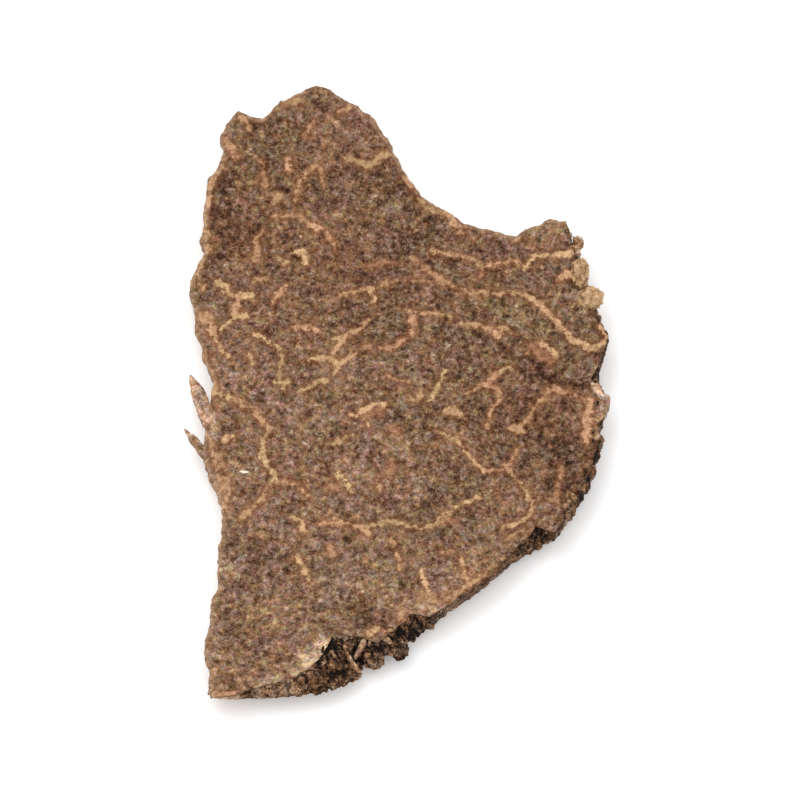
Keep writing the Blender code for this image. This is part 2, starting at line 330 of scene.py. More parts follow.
def faceSides():
    # left, right, bottom and top of the face
    left = plan(sampled(leftSide, sheet["along"]))
    top = plan(sampled(topSide, sheet["across"]))
    right = plan(sampled(rightRind, sheet["along"])[:, :2])
    bottom = plan(sampled(lowerRind, sheet["across"])[:, :2])
    return (
        jagged(left, -1, sheet["jag"], seed=11),
        jagged(right, 1, sheet["jag"] / 2, seed=12),
        jagged(bottom, 1, sheet["jag"] / 2, seed=13),
        jagged(top, -1, sheet["jag"], seed=14),
    )


def undersideSides():
    # half as many steps: broken sides torn anew, and the rind's sides moved out by their reach less the rind
    left = plan(sampled(leftSide, sheet["along"] // 2))
    top = plan(sampled(topSide, sheet["across"] // 2))
    right = flaredSide(rightRind, sheet["along"] // 2, -sheet["underInset"])
    bottom = flaredSide(lowerRind, sheet["across"] // 2, -sheet["underInset"])
    cornerSteps = 16
    fade = np.clip(1 - np.arange(len(left)) / cornerSteps, 0, 1)[:, None] ** 2
    left = left + (bottom[0] - left[0]) * fade
    top = top + (right[-1] - top[-1]) * fade[: len(top)][::-1]
    corner = (right[0] + bottom[-1]) / 2
    right[0] = corner
    bottom[-1] = corner
    left = jagged(left, -1, sheet["jag"], seed=21, inset=sheet["lean"])
    return left, right, bottom, jagged(top, -1, sheet["jag"], seed=24, inset=sheet["lean"])


def flaredSide(points, count, more):
    # smoothed side + outward * (smoothed reach + more - tuck * (1 - warts' height))
    side = sampled(points, count)
    edge = plan(side[:, :2])
    passes = passesFor(edge, sheet["smoothing"])
    reach, stand = averaged(side[:, 2:], passes).T
    reach = reach * mm + more - sheet["tuck"] * (1 - stand)
    return averaged(edge, passes) + outward(edge) * reach[:, None]


# Marbling: how pale each vein is and how red, from 0 to 1, its widths from end to end, and its line, both in
# pixels of the picture
veins = [
    (0.48, 0.6, (1.6, 1.8, 2), [(169, 480.5), (172, 484), (175, 485.5), (178, 488), (181, 490.3),
        (185, 492)]),
    (0.6, 0.5, (2, 1.6, 1.8), [(185, 492), (190, 493.2), (198, 493.5), (204, 493.3), (208, 493.8)]),
    (0.8, 0.5, (1.8, 2.2, 2.7, 2.7), [(208, 493.8), (211, 495.2), (214, 498), (217, 501), (220, 504.5),
        (224.5, 510)]),
    (0.82, 0.35, (3, 3.2, 3, 2.2), [(224.5, 510), (227, 510.6), (230, 512), (233, 512.4), (235, 511),
        (236.3, 508)]),
    (0.9, 0.6, (2.6, 3.2), [(234.5, 505), (236.8, 508)]),
    (0.55, 0.8, (2, 2.8), [(176.3, 486.5), (178, 488.4)]),
    (0.62, 0.5, (1.9, 1.7, 1.6), [(176, 478.5), (180, 479.6), (184, 480.3), (188, 481), (191, 482.5),
        (193.3, 484.8)]),
    (0.75, 0.7, (1.8, 1.6, 2), [(193.3, 484.8), (195, 483.8), (200, 483), (205, 483), (208.5, 484.5)]),
    (0.95, 0.3, (2.3, 2.2, 2, 3), [(208, 484.8), (210, 482.5), (212, 480.5), (215, 479.8), (219, 479.8),
        (224, 479.4)]),
    (0.5, 0.9, (1.6, 1), [(193.3, 485), (193, 488)]),
    (0.8, 0.7, (2.2, 2.8, 2.4), [(181, 465.3), (184, 468.7), (187, 472.5)]),
    (0.5, 0.3, (2, 2.6), [(171, 461), (174, 463), (178, 465)]),
    (0.6, 0.7, (2, 2.4), [(166, 453), (168.8, 456)]),
    (0.55, 0.4, (2, 1.6), [(204.5, 475.2), (207, 473.4)]),
    (0.9, 0.7, (1.4, 2.6, 3), [(219.6, 488.2), (222.3, 486.8), (224.6, 487.4)]),
    (0.55, 0.4, (1.4, 1.6), [(186.5, 503.8), (190, 504.4), (193, 505)]),
    (0.85, 0.7, (1.8, 2.6, 1.8), [(193, 505), (196, 506.4), (198.3, 508.3), (200, 507.6)]),
    (0.6, 0.6, (1.8, 1.4), [(200, 505.4), (203.5, 507.4)]),
    (0.45, 0.2, (1.7, 1.5), [(179, 500.8), (183.5, 501.8)]),
    (0.75, 0.5, (1.8, 1.6, 1.6), [(166, 498.4), (168.5, 499.5), (171, 500.5), (176, 500.5), (180, 501)]),
    (0.7, 0.9, (2.4, 3, 2), [(169, 501), (170, 503.5), (169.4, 506), (168.4, 507.6)]),
    (0.65, 0.5, (1.8, 1.8), [(144, 493.6), (150, 492.5), (155, 492), (158, 491), (161, 489.6)]),
    (0.4, 0.6, (1.6, 1.4, 1.8), [(161, 489.6), (165, 489), (171, 489), (176, 490), (180, 491)]),
    (0.9, 0.4, (2.4, 2.2), [(155.4, 492), (155.6, 496.4)]),
    (0.2, 0.9, (3.2, 3.8, 2.6), [(211, 511.8), (214, 514.2), (217.8, 517)]),
    (0.9, 0.5, (1.6, 1.9, 1.6), [(212.6, 510.4), (216, 512.6), (219, 516)]),
    (0.5, 0.6, (1.2, 1.4), [(209, 514), (210.3, 512), (212.6, 510.5)]),
    (0.6, 0.1, (1.4, 2), [(203.5, 519), (201, 519.6), (198.6, 521)]),
    (0.6, 0.95, (2, 2.8, 2), [(198, 521.3), (195, 524.3), (198, 526.2)]),
    (0.65, 0.6, (1.8, 1.3), [(194, 525), (191, 526.5), (188.5, 528.5)]),
    (0.65, 0.65, (2, 1.7, 1.9), [(197.5, 525.5), (199, 528), (199.3, 530.5), (197, 533), (195.8, 536),
        (195.8, 539.8)]),
    (0.6, 0.45, (3, 4, 1.6), [(180.3, 534.4), (182.6, 534.2), (184.6, 534.6), (187.4, 536.4)]),
    (0.65, 0.85, (1.6, 1.8, 2.2), [(231, 530.5), (228, 530), (225, 529), (221.5, 527.5), (219, 526),
        (216.8, 526)]),
    (0.6, 0.6, (2.2, 1.3, 1.6), [(216.8, 526), (215.5, 528.4), (213, 530.4), (211.3, 532.6), (209.6, 536),
        (206.5, 539)]),
    (0.62, 0.35, (1.8, 3.6, 2), [(203, 540), (206, 539.4), (207.6, 541)]),
    (0.6, 0.1, (1.4, 2, 1.6), [(178.5, 541.8), (181.5, 542.8), (184.6, 544.8)]),
    (0.8, 0.5, (1.8, 1.5, 1.8), [(184.6, 544.8), (187, 548.6), (190, 552), (193.5, 555)]),
    (0.6, 0.9, (1.8, 1.8), [(193.5, 555), (198, 554.8), (202, 555)]),
    (0.75, 0.9, (1.4, 2.8), [(200.6, 552.6), (202, 554.6)]),
    (0.55, 0.8, (2, 1.4, 1), [(202, 554.6), (203.2, 551), (204.6, 547)]),
    (0.95, 0.35, (2.2, 2.1), [(202.3, 555.2), (205, 558.5), (208, 562.5), (210.3, 565.4)]),
    (0.65, 0.6, (1.6, 1.8), [(210.3, 565.4), (210, 568.6), (208.4, 571.6)]),
    (0.8, 0.5, (1.8, 2.2, 2), [(208.4, 571.6), (206, 572.8), (203, 573.4), (200, 575)]),
    (0.65, 0.6, (1.7, 1.6), [(210.3, 565.6), (213, 564.4), (215.4, 564.8), (218.5, 565.4)]),
    (0.35, 0.7, (2, 1.6, 1.2), [(218.5, 565.4), (219, 562), (219.8, 558), (220.4, 553)]),
    (0.45, 0.5, (1.6, 2), [(201, 579), (204, 577), (207.6, 575.4)]),
    (0.85, 0.2, (1.8, 1.7), [(180.8, 571.4), (183, 569.4), (184.6, 567.2), (187, 566.6), (191.5, 564.3)]),
    (0.55, 0.9, (2.4, 2.6), [(180, 572.4), (182.4, 573)]),
    (0.45, 0.2, (1.6, 1.6), [(178, 573.4), (179.6, 570.6)]),
    (0.7, 0.4, (1.8, 1.8), [(165.6, 573), (169, 575), (173, 575.6), (176, 574.8), (178, 573.2)]),
    (0.6, 0.1, (1.6, 2.2, 1.8), [(153, 574.6), (157, 573.2), (161, 572.4), (165.6, 573)]),
    (0.7, 0.6, (2.8, 2.2, 1.8), [(142.5, 571.6), (146, 572.9), (149, 574), (154, 576)]),
    (0.75, 0.8, (1.6, 2.4, 2.8), [(137.6, 572.8), (141, 572.9), (145, 572.4)]),
    (0.85, 0.4, (2.2, 2.8, 1.6), [(128.2, 571.3), (130.6, 572.2), (131.6, 574), (131.3, 576.6)]),
    (0.7, 0.6, (1.6, 2, 1.8), [(162.2, 579.4), (164, 582.5), (165.6, 585.2), (165.2, 588.6)]),
    (0.9, 0.4, (1.6, 2.2, 2), [(172.7, 589.2), (173.3, 592.6), (174.2, 596.4)]),
    (0.35, 0.35, (4.4, 5), [(172.8, 598), (175.6, 598.4)]),
    (0.8, 0.6, (1.4, 1.9), [(185.3, 584.6), (187.2, 588), (187.7, 591.8)]),
    (0.75, 0.7, (1.7, 2.1), [(178.5, 583), (183, 582.8)]),
    (0.9, 0.2, (1.8, 1.9, 1.2), [(129.3, 583.6), (131.4, 587), (133.8, 591.4)]),
    (0.85, 0.2, (2.2, 3.4), [(154, 610.6), (156.4, 608.6)]),
    (0.6, 0.5, (2.6, 2.6), [(164.6, 605.4), (166.2, 602.4)]),
    (0.6, 0.5, (1.6, 3, 2), [(180, 599.4), (185, 596.4), (189.4, 593.8), (194, 591)]),
    (0.85, 0.3, (1.6, 2.3, 2.2), [(133, 517), (136, 516), (140, 515.8), (142.8, 517.4)]),
    (0.72, 0.4, (2.2, 1.8, 1.8), [(142.6, 521), (143.5, 518.4), (145.6, 516.8), (149, 514.8)]),
    (0.75, 0.6, (2.6, 2, 1.8), [(142.4, 514.4), (144, 511), (147, 508.6), (150.5, 506), (154.4, 503.4)]),
    (0.7, 0.2, (2.4, 1.6), [(142.5, 509.4), (146.4, 508.4)]),
    (0.5, 0.8, (1.8, 2.2), [(151.6, 513), (154, 512.4)]),
    (0.7, 0.9, (2.2, 2.6, 2), [(159, 512.4), (162, 512.6), (164.4, 511), (167.4, 509.4)]),
    (0.3, 0.9, (1.8, 2), [(155, 484.2), (159, 483), (163, 483)]),
    (0.65, 0.15, (1.4, 2, 1.8), [(130, 527.8), (133, 526.4), (136, 525), (139, 523.4)]),
    (0.45, 0.8, (1.2, 1.5), [(161, 522.2), (164, 523.6), (167.6, 525.2)]),
    (0.75, 0, (1.6, 2.3, 1.8), [(180.4, 520.6), (178.9, 524.5), (178, 527), (176, 529.4), (173.8, 531)]),
    (0.6, 0.4, (1.4, 1.9), [(169, 530.2), (172.2, 529.4)]),
    (0.95, 0.55, (1.8, 2.2, 3, 2.2), [(148, 535.8), (151.3, 536.8), (153, 534.4), (155.8, 532),
        (159, 531.6)]),
    (0.2, 0.9, (2.4, 3.2), [(153.4, 536.2), (157, 534.4)]),
    (0.8, 0.5, (2, 1.5), [(151.8, 537), (154, 539.6)]),
    (0.5, 0.15, (1.6, 3, 1.6), [(139, 546.2), (142.6, 545.4), (145, 543.4), (148, 542.4)]),
    (0.95, 0.2, (1.8, 2.2, 1.8), [(143.6, 556.4), (146, 559.4), (148, 561.8)]),
    (0.35, 0.8, (2.2, 2), [(140.5, 560.4), (144.6, 561)]),
    (0.65, 0.4, (1.2, 1.6), [(156.4, 558.4), (158, 561.2)]),
    (0.25, 0.95, (2.8, 3), [(161.8, 552), (162.4, 554)]),
    (0.25, 0.9, (2.6, 2.8), [(162, 540.4), (163.6, 541)]),
    (0.6, 0.8, (3.4, 3.6), [(140.6, 581), (141.6, 583)]),
    (0.8, 0.1, (2.4, 1.7, 1.8), [(100, 528), (103, 529), (106, 530.5)]),
    (0.62, 0.6, (1.8, 2.2, 2.2), [(106, 530.5), (110, 532), (114, 534), (117, 537), (119.6, 540),
        (120, 542)]),
    (0.85, 0.2, (1.8, 2.6, 1.9, 2.3), [(120, 542), (118.2, 544), (117.5, 546.5), (118, 550), (120.4, 555),
        (121.5, 559)]),
    (0.62, 0.45, (1.8, 2, 2.4), [(121.5, 559), (119, 561.2), (117.5, 564), (115, 567), (112, 569.6),
        (110.8, 571.2)]),
    (0.65, 0.7, (1.8, 2.2, 1.4), [(121.5, 559.3), (124.5, 558.8), (128.5, 558.6), (131, 561), (133, 563.4)]),
    (0.9, 0, (1.8, 2.8, 2), [(121.8, 524), (124.4, 524.6), (127.4, 523.8)]),
    (0.6, 0, (1.8, 1.2), [(124.8, 525.6), (125.4, 528)]),
    (0.4, 0, (1.4, 1.2), [(124.3, 513.4), (124.4, 516.6), (123.6, 519.6), (123.6, 522.4)]),
    (0.75, 0.1, (1.4, 1.9, 1.4), [(120, 510.6), (122.6, 511.8), (124.6, 513.6), (126.4, 514.4)]),
    (0.95, 0.35, (2.7, 2.2), [(115.8, 507.8), (118, 509.3), (120, 510.6)]),
    (0.7, 0.4, (1.6, 2.2), [(112.6, 514.6), (114.6, 517.2)]),
    (1, 0.6, (1.8, 2.6, 3.4, 2.2), [(100.6, 544), (103.6, 544.3), (107.4, 543.8)]),
    (0.85, 0.55, (2.8, 3.2, 2.4, 1.5), [(99.6, 505.6), (101.6, 509.6), (103.6, 513.8), (105.8, 515.4)]),
    (0.5, 0.5, (4.6, 4.8), [(97, 500.8), (98.2, 502.4)]),
    (0.85, 0.25, (1.6, 2.2, 2.2), [(103, 505.8), (105.6, 503.4), (108.6, 502), (112, 501.4)]),
    (0.7, 0.7, (2.6, 2.6), [(108.8, 495), (108, 498.4), (108, 500.8)]),
    (0.95, 0.15, (4.2, 4.4), [(102.6, 490.2), (104, 491)]),
    (0.7, 0.6, (2, 1.8), [(104.6, 492), (107, 494), (109, 495)]),
    (0.95, 0.2, (2.6, 3, 2.2), [(109.8, 494.2), (112.4, 493.6), (114.6, 494.4)]),
    (0.55, 0.3, (2, 2.2), [(95.6, 490.4), (97, 491)]),
    (0.75, 0.8, (2.8, 2.6, 1.6), [(120.6, 496), (122.6, 493), (125.6, 490.4)]),
    (0.4, 0.3, (2.4, 2.2), [(115, 489), (118.4, 488.4)]),
    (0.85, 0.75, (1.6, 2.2, 1.8), [(132.6, 468.2), (136, 470.4), (139.6, 472.8)]),
    (0.55, 0.8, (1.8, 1.7), [(139.6, 472.8), (141.8, 475.6), (142.4, 478.4)]),
    (0.6, 0.5, (1.6, 1.6), [(128.8, 462.4), (129.5, 457), (131, 453.4), (133.4, 450.6), (135.6, 449.6)]),
    (0.4, 0.6, (1.6, 1.2), [(135.6, 449.6), (137.6, 451.4), (138, 456)]),
    (0.5, 0.5, (1.6, 1.8), [(121, 467), (125, 466.4), (130, 466.6), (132.6, 468.2)]),
    (0.65, 0.7, (1.4, 2.2, 2.4), [(116.8, 471.6), (115.4, 474.6), (115, 477.4), (114.8, 481.6)]),
    (0.95, 0.2, (2.2, 3.6, 2.4), [(128, 479.2), (131.6, 479.6), (132, 482.8)]),
    (0.65, 0.2, (1.6, 2.2), [(122.6, 481.2), (125.4, 482)]),
    (0.75, 0.75, (1.8, 2.6, 2.2), [(128.6, 505.4), (132, 504.8), (135.8, 506.4)]),
    (0.5, 0.2, (2.2, 3.2, 2.4), [(145.6, 447), (149.6, 448.2), (153.6, 449.6), (157, 447.4),
        (160.4, 445.4)]),
    (0.95, 0.8, (2.4, 2.8), [(125.9, 446.8), (126.5, 450.6)]),
    (0.65, 0.4, (2.6, 2.4), [(121.4, 461), (122.6, 459)]),
    (0.55, 0.8, (2.2, 2.6), [(104.6, 439.6), (107.2, 445.4)]),
    (0.5, 0.4, (2.6, 2.4), [(110, 431.6), (113, 436)]),
    (0.4, 0.7, (2, 2), [(117, 447.4), (117.8, 455)]),
    (0.5, 0.3, (2.6, 2.6), [(124.4, 425.6), (130.6, 426.4)]),
    (0.45, 0.7, (1.8, 2), [(131.8, 438.4), (134.4, 434)]),
    (0.6, 0.6, (2.4, 2.6), [(143.6, 429.4), (148.4, 428.2)]),
    (0.7, 0.5, (2.6, 2.4, 1.8), [(103.2, 449.2), (100.4, 453.8), (98.6, 459.4), (97.6, 466)]),
    (0.6, 0.4, (1.6, 2, 2.2), [(97.6, 466), (97.8, 472), (97.6, 479.4), (95.6, 484.6), (93.6, 490)]),
    (0.5, 0.6, (1.4, 1.8), [(97.6, 514.6), (100, 521.6), (100.6, 526.6)]),
    (0.75, 0.8, (1.8, 3, 3.4, 2), [(229.6, 530), (230.6, 533), (228.8, 538), (228.6, 542), (229.4, 545.4)]),
    (0.55, 0.7, (3.2, 3.2), [(101.4, 631.6), (107.4, 631.6)]),
    (0.5, 0.6, (2.2, 2), [(104.8, 557.6), (106.2, 560.4), (104.8, 565)]),
    (0.55, 0.55, (1.6, 2.4, 2.8, 2), [(97, 538.6), (99.4, 546), (101.8, 554), (104.4, 561), (105, 568)]),
    (0.5, 0.4, (1.2, 1.8, 1.4), [(99.8, 543), (102.6, 549), (105.4, 556)]),
    (0.5, 0.2, (1.2, 1.4), [(98.6, 531.6), (101, 536.4), (99.6, 540)]),
]
# Dark cracks of the face, given as the veins are, with how dark each is in the place of how pale, and nought
# their darkness is painted shade in the grooves
cracks = [
    (0.5, 0, (0.8, 1.6, 1), [(208, 515), (211, 517.4), (214.5, 520.5), (218, 522.8), (223, 523.8),
        (228, 524.5)]),
    (0.6, 0, (2.6, 2.8), [(216, 521.6), (218.6, 523)]),
    (0.3, 0, (1.2, 1.4, 1), [(231.8, 526), (232.8, 530), (231.8, 536), (231.2, 541), (231.6, 546)]),
    (0.7, 0, (1.2, 1.6), [(98.6, 528.6), (99.4, 532.6), (99.8, 537)]),
    (0.6, 0, (1, 1.2), [(100.6, 546), (102.6, 551), (105, 556)]),
    (0.7, 0, (1.6, 2), [(124.6, 456.6), (126, 457.4)]),
    (0.6, 0, (1.6, 1.8), [(113.4, 496.6), (115.4, 498.6)]),
    (0.8, 0, (1.8, 1.6), [(175.6, 479.4), (178, 479.9)]),
    (0.6, 0, (1.2, 1.4), [(183, 481.7), (186, 482.4)]),
    (0.35, 0, (1.6, 1.8, 1.6), [(190.6, 507), (192.4, 508), (194.4, 509.4)]),
    (0.35, 0, (1.4, 1.6), [(197, 510), (199, 510.6)]),
    (0.7, 0, (1.2, 1.4), [(210.6, 533), (211.4, 535.4)]),
    (0.5, 0, (2.2, 2.4), [(146.4, 578), (149, 578.4)]),
    (0.3, 0, (1.8, 2), [(167.4, 539), (168.2, 540.4)]),
    (0.6, 0, (1.6, 1.8), [(129.6, 480.6), (130.4, 481.4)]),
]
# Lighter and darker places of the flesh, partly its own tone and partly painted shade in its dips and
# hollows: x and y in the picture, radius in millimetres and strength
tonesAndShading = [
    (150, 462, 11, -0.18), (120, 603, 6, 0.1), (212, 526, 2.4, -0.22), (104, 473, 2.4, -0.12),
    (203, 536, 2.6, -0.28), (218, 547, 2.2, -0.26), (226, 558, 1.6, -0.4), (101, 466, 1.4, -0.25),
    (145, 486, 2.6, -0.16), (193, 488, 2.2, -0.14), (150.5, 601, 0.8, -0.5), (153, 606, 0.7, -0.3),
    (115, 612, 1.9, -0.18), (121, 588, 1.4, -0.2), (222, 478, 1.6, 0.15), (129, 534, 2, 0.08),
    (133.5, 620, 0.7, 1.4), (128.6, 623.6, 0.5, 0.5), (138.6, 615, 0.7, 1.5), (123, 626.6, 0.6, 0.4),
    (118, 627.6, 0.6, 0.4), (171, 601, 1.1, 0.6), (178, 600, 0.8, 0.5), (187, 592, 1.2, 0.3),
    (103, 568, 1.2, 0.5), (103.5, 556, 0.9, 0.6), (101, 548, 0.9, 0.5), (98.6, 541, 0.7, 0.4),
    (104, 590, 1.1, 0.35), (101.5, 612, 0.6, 0.3), (98, 500, 0.8, 0.2), (151, 590, 3, 0.22),
    (105, 521, 1.1, 0.2), (157, 545, 2.6, 0.1), (229, 538, 0.6, 0.4), (106, 440, 1.2, 0.25),
    (233.4, 531, 0.5, 0.7), (233, 536, 0.5, 0.6), (108, 476, 1.8, -0.2), (224, 534, 1.4, -0.2),
    (114, 434, 1.3, -0.25), (103, 460, 1.3, -0.08), (109, 470, 1.8, -0.05), (103, 482, 1.2, -0.1),
    (103, 493, 1.2, -0.12), (103, 530, 1, -0.2), (115, 612, 1.3, -0.15), (139, 577, 1.2, 0.15),
    (151, 613, 0.8, 0.15), (199, 505, 1.2, 0.15), (217, 541, 1.8, -0.13), (163, 589, 1.5, 0.13),
    (163, 541, 1.5, 0.12), (150, 482, 1.5, -0.15), (103, 623, 1.2, 0.15), (223, 517, 1.2, -0.13),
    (221.5, 561, 0.6, -0.3), (133, 456, 0.7, -0.3), (133, 535, 0.5, -0.3), (104, 455, 0.6, -0.5),
    (115, 469, 1.2, -0.3), (229, 546.5, 0.22, 0.7), (226.5, 552.5, 0.22, 0.6), (224.5, 560, 0.2, 0.6),
    (231, 550, 0.3, -0.9), (228.5, 555.5, 0.22, -0.9), (226, 563, 0.25, -0.9), (221.5, 569.5, 0.25, -1),
    (219.2, 573, 0.2, 0.4), (207, 579, 0.35, 0.3), (232.4, 543, 0.25, 0.8), (234.2, 538.6, 0.3, -0.6),
]


def rounded(points):
    # each corner cut at a quarter of its two runs
    first = 0.75 * points[:-1] + 0.25 * points[1:]
    last = 0.25 * points[:-1] + 0.75 * points[1:]
    middle = np.stack([first, last], axis=1).reshape(-1, points.shape[1])
    return np.concatenate([points[:1], middle, points[-1:]])


def runLengths(points):
    # how far along a run each of its points lies
    return np.concatenate([[0.0], np.cumsum(np.linalg.norm(np.diff(points, axis=0), axis=1))])


def runDistance(places, points):
    # the least distance from each place to a run of straight pieces, and how far along the run, from 0 to 1
    along = runLengths(points)
    least = np.full(places.shape[:-1], np.inf)
    met = np.zeros(places.shape[:-1])
    for start, end, begun, ended in zip(points[:-1], points[1:], along[:-1], along[1:]):
        way = end - start
        share = np.clip(((places - start) @ way) / (way @ way), 0, 1)
        away = np.linalg.norm(places - start - share[..., None] * way, axis=-1)
        met = np.where(away < least, (begun + share * (ended - begun)) / along[-1], met)
        least = np.minimum(least, away)
    return least, met


def lineField(places, lines, wander, seed):
    # the largest of half a line's width less the distance to it, in millimetres and no less than -3, with the
    # places wandering a little, and that line's own two numbers, from 0 to 1
    level = onLevel(places, height=0.2 * mm)
    seeds = (seed, seed + 7)
    shift = np.stack([layeredNoise(level, sheet["wanderSize"], each, layers=3) for each in seeds], axis=-1)
    places = places + wander * shift
    half = picture["realWidth"] / picture["width"] * sheet["veinWidth"] / 2
    inside = np.full(places.shape[:-1], -3.0 * mm)
    first = np.zeros(places.shape[:-1])
    second = np.zeros(places.shape[:-1])
    for firstOwn, secondOwn, widths, line in lines:
        away, met = runDistance(places, plan(rounded(np.array(line, float))))
        depth = half * np.interp(met, np.linspace(0, 1, len(widths)), widths) - away
        deeper = depth > inside
        inside = np.where(deeper, depth, inside)
        first = np.where(deeper, firstOwn, first)
        second = np.where(deeper, secondOwn, second)
    return inside / mm, first, second


def grainRelief(places, seed):
    # small domes 0.5 - nearest of the cell noise, on soft lumps, from about -1 to 1
    level = onLevel(places, height=0.1 * mm)
    domes = 0.5 - cellNoise(level, sheet["domeSize"], seed)[0]
    lumps = layeredNoise(level, sheet["lumpSize"], seed + 5, layers=3, fall=0.6)
    return weighted(sheet["grains"], (domes, lumps, softNoise(level, sheet["fineSize"], seed + 9)))


def meshPiece(name, points, faces, fields, material):
    # a mesh from arrays of points and faces, shaded smooth, with its fields as attributes of the points
    mesh = bpy.data.meshes.new(name)
    mesh.from_pydata(points, [], faces)
    mesh.shade_smooth()
    for field, values in fields.items():
        attribute = mesh.attributes.new(field, "FLOAT", "POINT")
        attribute.data.foreach_set("value", np.ascontiguousarray(values, np.float32))
    mesh.materials.append(material)
    piece = bpy.data.objects.new(name, mesh)
    bpy.context.scene.collection.objects.link(piece)
    return piece


def dress(piece):
    # every piece belongs to the slice
    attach(piece, "root")
    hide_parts("truffle_slice")


def gridFaces(index):
    # quads over a grid of point numbers, anticlockwise where the first way runs right and the second way up
    corners = (index[:-1, :-1], index[1:, :-1], index[1:, 1:], index[:-1, 1:])
    return np.stack([corner.ravel() for corner in corners], axis=1)


def closed(index):
    # a grid of point numbers, with its first column again after its last
    return np.concatenate([index, index[:, :1]], axis=1)


def cappedTube(ring):
    # rings of points joined along their path, each end closed to its own middle
    count = ring.shape[0] * ring.shape[1]
    index = closed(np.arange(count).reshape(ring.shape[:2]))
    points = np.concatenate([ring.reshape(-1, 3), ring[0].mean(0)[None], ring[-1].mean(0)[None]])
    first = np.stack([index[0, :-1], index[0, 1:], np.full(ring.shape[1], count)], axis=1)
    last = np.stack([index[-1, 1:], index[-1, :-1], np.full(ring.shape[1], count + 1)], axis=1)
    return points, gridFaces(index).tolist() + first.tolist() + last.tolist()


def loopOf(index):
    # the point numbers round a grid's rim, anticlockwise from its first corner
    return np.concatenate([index[:-1, 0], index[-1, :-1], index[:0:-1, -1], index[0, :0:-1]])


def twoToOne(fine, coarse):
    # three triangles for every two steps of a closed run of point numbers over one step of a coarser run
    first, middle, last = fine[0::2], fine[1::2], np.roll(fine, -2)[0::2]
    under, beside = coarse, np.roll(coarse, -1)
    corners = ((first, under, middle), (under, beside, middle), (middle, beside, last))
    return np.concatenate([np.stack(triangle, axis=1) for triangle in corners])


def wallGrid(upper, coarse, behindRind):
    # T + (F - T)t from the face's rim to the underside's, pushed out by rough layers * sqrt(sin(pi t)), and
    # pulled in behind the rind
    rows = sheet["wallRows"]
    lower = np.stack([coarse, (coarse + np.roll(coarse, -1, axis=0)) / 2], axis=1).reshape(-1, 3)
    t = (np.arange(1, rows) / rows)[:, None, None]
    wall = upper[None] + (lower - upper)[None] * t
    wrap = 60
    ring = np.concatenate([upper[-wrap:, :2], upper[:, :2], upper[:wrap, :2]])
    out = outward(ring, reach=0.3 * mm)[wrap:-wrap]
    squash = 2.2
    rough = layeredNoise(wall * np.array([1, 1, squash]), sheet["wallGrain"], seed=81, fall=0.62)
    push = np.where(behindRind, -sheet["wallInset"], sheet["wallRoughness"] * rough)
    push = push * np.sqrt(np.sin(math.pi * t[..., 0]))
    wall[..., :2] = wall[..., :2] + out[None] * push[..., None]
    return wall, rough


def fleshSlice(material):
    # the face, the underside and the wall between them as one closed mesh
    sides = faceSides()
    face = laidGrid(*sides)
    under = laidGrid(*undersideSides())
    faceVeins, facePale, faceRed = lineField(face, veins, sheet["wanders"][0], seed=31)
    underVeins, underPale, underRed = lineField(under, veins, sheet["wanders"][1], seed=47)
    cracked, crackDark = lineField(face, cracks, sheet["wanders"][0], seed=37)[:2]
    faceCracks = crackDark * smoothStep(cracked, low=-0.14, high=0.06)
    faceGrain = grainRelief(face, seed=61)
    underGrain = grainRelief(under, seed=71)
    tornRun = np.concatenate([sides[3][::-2], sides[0][-3::-2]])
    faceRim = runDistance(face, tornRun)[0] / mm
    underRim = runDistance(under, tornRun)[0] / mm

    # the face: height + grain * its height + vein * its height - drop * (1 - step of the distance to the rim)
    broken = 0.12 * faceGrain
    crumbling = 1 - smoothStep(faceRim + broken, low=0.0, high=sheet["rimWidth"])
    faceZ = faceHeight(face[..., 0], face[..., 1]) + sheet["grainHeight"] * faceGrain
    faceZ = faceZ + sheet["veinHeight"] * smoothStep(faceVeins, low=-0.15, high=0.1)
    faceZ = faceZ - sheet["crackDepth"] * faceCracks - sheet["rimDrop"] * crumbling
    underZ = lift(under[..., 0], under[..., 1]) + sheet["grainHeight"] * np.clip(underGrain, 0, None)
    facePoints = np.column_stack([face.reshape(-1, 2), faceZ.ravel()])
    underPoints = np.column_stack([under.reshape(-1, 2), underZ.ravel()])

    faceIndex = np.arange(faceZ.size).reshape(faceZ.shape)
    underIndex = faceIndex.size + np.arange(underZ.size).reshape(underZ.shape)
    faceLoop, underLoop = loopOf(faceIndex), loopOf(underIndex)
    behindRind = np.arange(len(faceLoop)) < sheet["across"] + sheet["along"]
    wall, rough = wallGrid(facePoints[faceLoop], underPoints[underLoop - faceIndex.size], behindRind)
    points = np.concatenate([facePoints, underPoints, wall.reshape(-1, 3)])
    wallIndex = faceIndex.size + underIndex.size + np.arange(rough.size).reshape(rough.shape)
    rings = closed(np.concatenate([faceLoop[None], wallIndex]))
    quads = np.concatenate([gridFaces(faceIndex), gridFaces(underIndex)[:, ::-1], gridFaces(rings)])
    triangles = twoToOne(wallIndex[-1], underLoop)

    # each field on the face, the underside and the wall
    made = {
        "vein": (faceVeins, underVeins, -1.0),
        "pale": (facePale, underPale, 0.0),
        "red": (faceRed, underRed, 0.0),
        "crack": (faceCracks, 0.0, 0.0),
        # the tone field: the flesh's own tone with painted shade in its dips and hollows
        "tone": (bells(face, tonesAndShading, plan), 0.0, 0.0),
        "grain": (faceGrain, underGrain, rough),
        "rim": (faceRim, underRim, np.where(behindRind, 1.0, 0.0)),
    }
    fields = {}
    for name, values in made.items():
        spread = [np.broadcast_to(value, at.shape) for value, at in zip(values, (faceZ, underZ, rough))]
        fields[name] = np.concatenate([value.ravel() for value in spread])
    dress(meshPiece("truffle_flesh", points, quads.tolist() + triangles.tolist(), fields, material))
    print("flesh:", len(quads) * 2 + len(triangles), "triangles")


